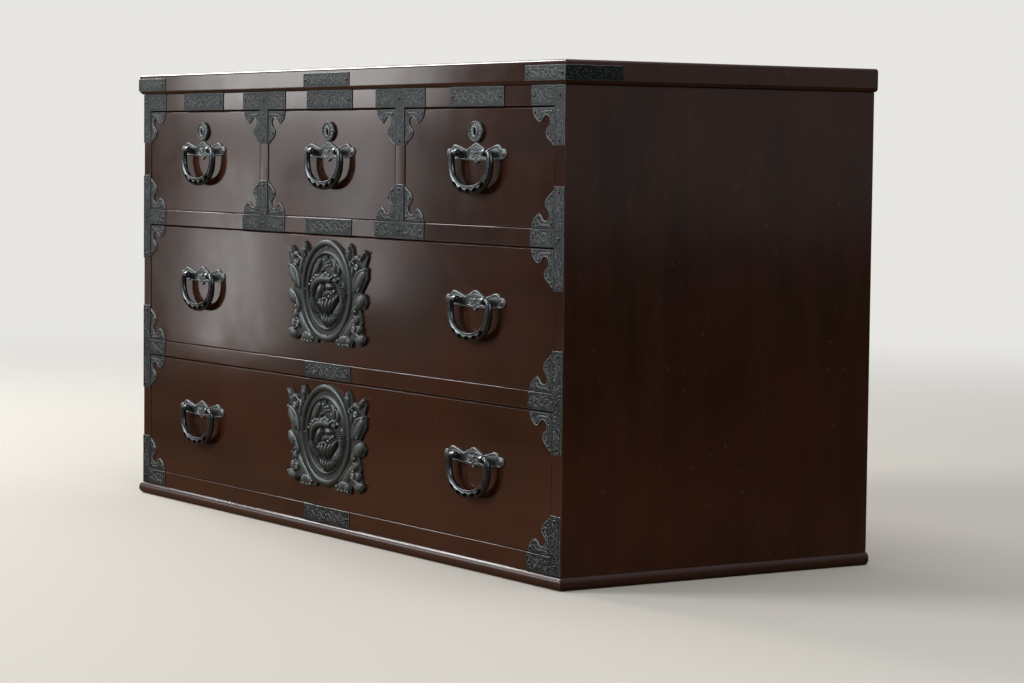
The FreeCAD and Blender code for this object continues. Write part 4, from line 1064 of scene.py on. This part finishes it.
ahead = Vector((
    math.cos(CAMERA_ELEVATION) * math.sin(CAMERA_AZIMUTH),
    math.cos(CAMERA_ELEVATION) * math.cos(CAMERA_AZIMUTH),
    math.sin(CAMERA_ELEVATION),
))
across = Vector((math.cos(CAMERA_AZIMUTH), -math.sin(CAMERA_AZIMUTH), 0))
upward = across.cross(ahead)
rolled_across = across * math.cos(CAMERA_ROLL) + upward * math.sin(CAMERA_ROLL)
rolled_up = upward * math.cos(CAMERA_ROLL) - across * math.sin(CAMERA_ROLL)
camera = bpy.data.objects.new("camera", bpy.data.cameras.new("camera"))
camera.data.sensor_width = 36
camera.data.lens = FOCAL_PIXELS * camera.data.sensor_width / IMAGE_WIDTH
axes = Matrix((rolled_across, rolled_up, -ahead)).transposed().to_4x4()
camera.matrix_world = Matrix.Translation(CAMERA_PLACE) @ axes
bpy.context.scene.collection.objects.link(camera)
bpy.context.scene.camera = camera


def seen_rays(tree):
    """One for rays from the camera or through glass, nought for those that light or mirror the chest."""
    path = node(tree, "LightPath")
    seen = node(tree, "Math", operation="MAXIMUM")
    tree.links.new(path.outputs["Is Camera Ray"], seen.inputs[0])
    tree.links.new(path.outputs["Is Transmission Ray"], seen.inputs[1])
    return seen.outputs[0]


def mixed(tree, share, under, over):
    """Two shaders mixed by a share."""
    mix = node(tree, "MixShader")
    for socket, value in enumerate((share, under, over)):
        tree.links.new(value, mix.inputs[socket])
    return mix.outputs[0]


bpy.ops.mesh.primitive_plane_add(size=FLOOR_SIDE, location=FLOOR_MIDDLE)
floor = bpy.context.active_object
floor.name = "floor"
bpy.ops.object.transform_apply(location=True, rotation=False, scale=False)
floor_paint, tree, shader = finish("pale_floor")
shader.inputs["Base Color"].default_value = FLOOR_SEEN
shader.inputs["Roughness"].default_value = 0.7
shader.inputs["Specular IOR Level"].default_value = 0.15
reach = node(tree, "VectorMath", operation="LENGTH")
tree.links.new(node(tree, "TexCoord").outputs["Object"], reach.inputs[0])
fade = node(tree, "MapRange", interpolation_type="SMOOTHSTEP", From_Min=0.6, From_Max=4.4)
tree.links.new(reach.outputs["Value"], fade.inputs["Value"])
# The floor's painted shade, darker with distance from the chest, seen only by the rays that light or mirror
# the chest.
lit_share = node(tree, "MapRange", From_Min=0.35, From_Max=1.6)
tree.links.new(reach.outputs["Value"], lit_share.inputs["Value"])
lit = node(tree, "BsdfDiffuse")
painted_shade_colour = blended(tree, lit_share.outputs[0], FLOOR_SHADED_NEAR, FLOOR_SHADED_FAR)
tree.links.new(painted_shade_colour, lit.inputs["Color"])
backdrop = node(tree, "Emission", Color=BACKDROP, Strength=1)
faded = mixed(tree, fade.outputs[0], shader.outputs[0], backdrop.outputs[0])
surface = mixed(tree, seen_rays(tree), lit.outputs[0], faded)
tree.links.new(surface, tree.nodes["Material Output"].inputs["Surface"])
floor.data.materials.append(floor_paint)


def lamp(name, place, aim, width, height, power):
    """A soft lamp that faces a point and is itself unseen."""
    light = bpy.data.lights.new(name, "AREA")
    light.shape, light.size, light.size_y, light.energy = "RECTANGLE", width, height, power
    made = bpy.data.objects.new(name, light)
    made.location = place
    made.rotation_euler = (Vector(aim) - Vector(place)).to_track_quat("-Z", "Y").to_euler()
    made.visible_camera = False
    bpy.context.scene.collection.objects.link(made)


def panel(name, left, right, low, high, plane, glow):
    """An upright panel of even brightness at the left front, which the lacquer mirrors."""
    place = ((left + right) / 2, plane, (low + high) / 2)
    wide, tall = right - left, high - low
    lamp(name, place, (place[0], place[1] + 1, place[2]), wide, tall, glow * math.pi * wide * tall)


lamp("key", (-2.4, -3.6, 2.1), (0, -0.2, 0.3), 2.0, 2.0, 165)
lamp("skylight", (-3.2, -0.3, 2.4), (0, 0, 0.5), 1.2, 1.2, 75)
lamp("overhead", (0.2, 0.2, 3.4), (0, 0, 0.3), 2.5, 2.5, 30)
lamp("fill", (3.6, -1.2, 2.2), (0, 0, 0.3), 2.0, 2.0, 46)
lamp("side_wall", (4.0, 2.45, 0.75), (0.54, 0.0, 0.55), 1.6, 0.9, 0.9)
panel("window", -3.36, -2.97, 0.0, 0.32, WINDOW_PLANE, 2.35)
panel("window_middle", -3.34, -2.97, 0.32, 0.47, WINDOW_PLANE, 1.8)
panel("window_top", -3.36, -2.78, 0.47, 0.60, WINDOW_PLANE, 1.0)
panel("lintel", -3.36, -2.20, 0.60, 1.10, WINDOW_PLANE, 3.8)
panel("far_window", -2.70, -2.37, 0.156, 0.60, WINDOW_PLANE, 1.6)
panel("wall_left", -4.20, -3.37, 0.0, 0.95, WALL_PLANE, 0.06)
panel("wall_middle", -3.37, -2.30, 0.0, 0.95, WALL_PLANE, 0.12)
panel("wall_right", -2.30, -1.50, 0.0, 0.95, WALL_PLANE, 0.03)

world = bpy.data.worlds.new("room")
bpy.context.scene.world = world
world.use_nodes = True
tree = world.node_tree
background = tree.nodes["Background"]
background.inputs["Color"].default_value = SKY_LIGHT
upward_share = node(tree, "SeparateXYZ")
tree.links.new(node(tree, "TexCoord").outputs["Generated"], upward_share.inputs[0])
rising = node(tree, "MapRange", From_Min=0.05, From_Max=0.7, To_Min=0.05, To_Max=0.40)
tree.links.new(upward_share.outputs["Z"], rising.inputs["Value"])
tree.links.new(rising.outputs[0], background.inputs["Strength"])
backdrop = node(tree, "Background", Color=BACKDROP, Strength=1)
surface = mixed(tree, seen_rays(tree), background.outputs[0], backdrop.outputs[0])
tree.links.new(surface, tree.nodes["World Output"].inputs["Surface"])

bpy.context.scene.view_settings.view_transform = "Standard"
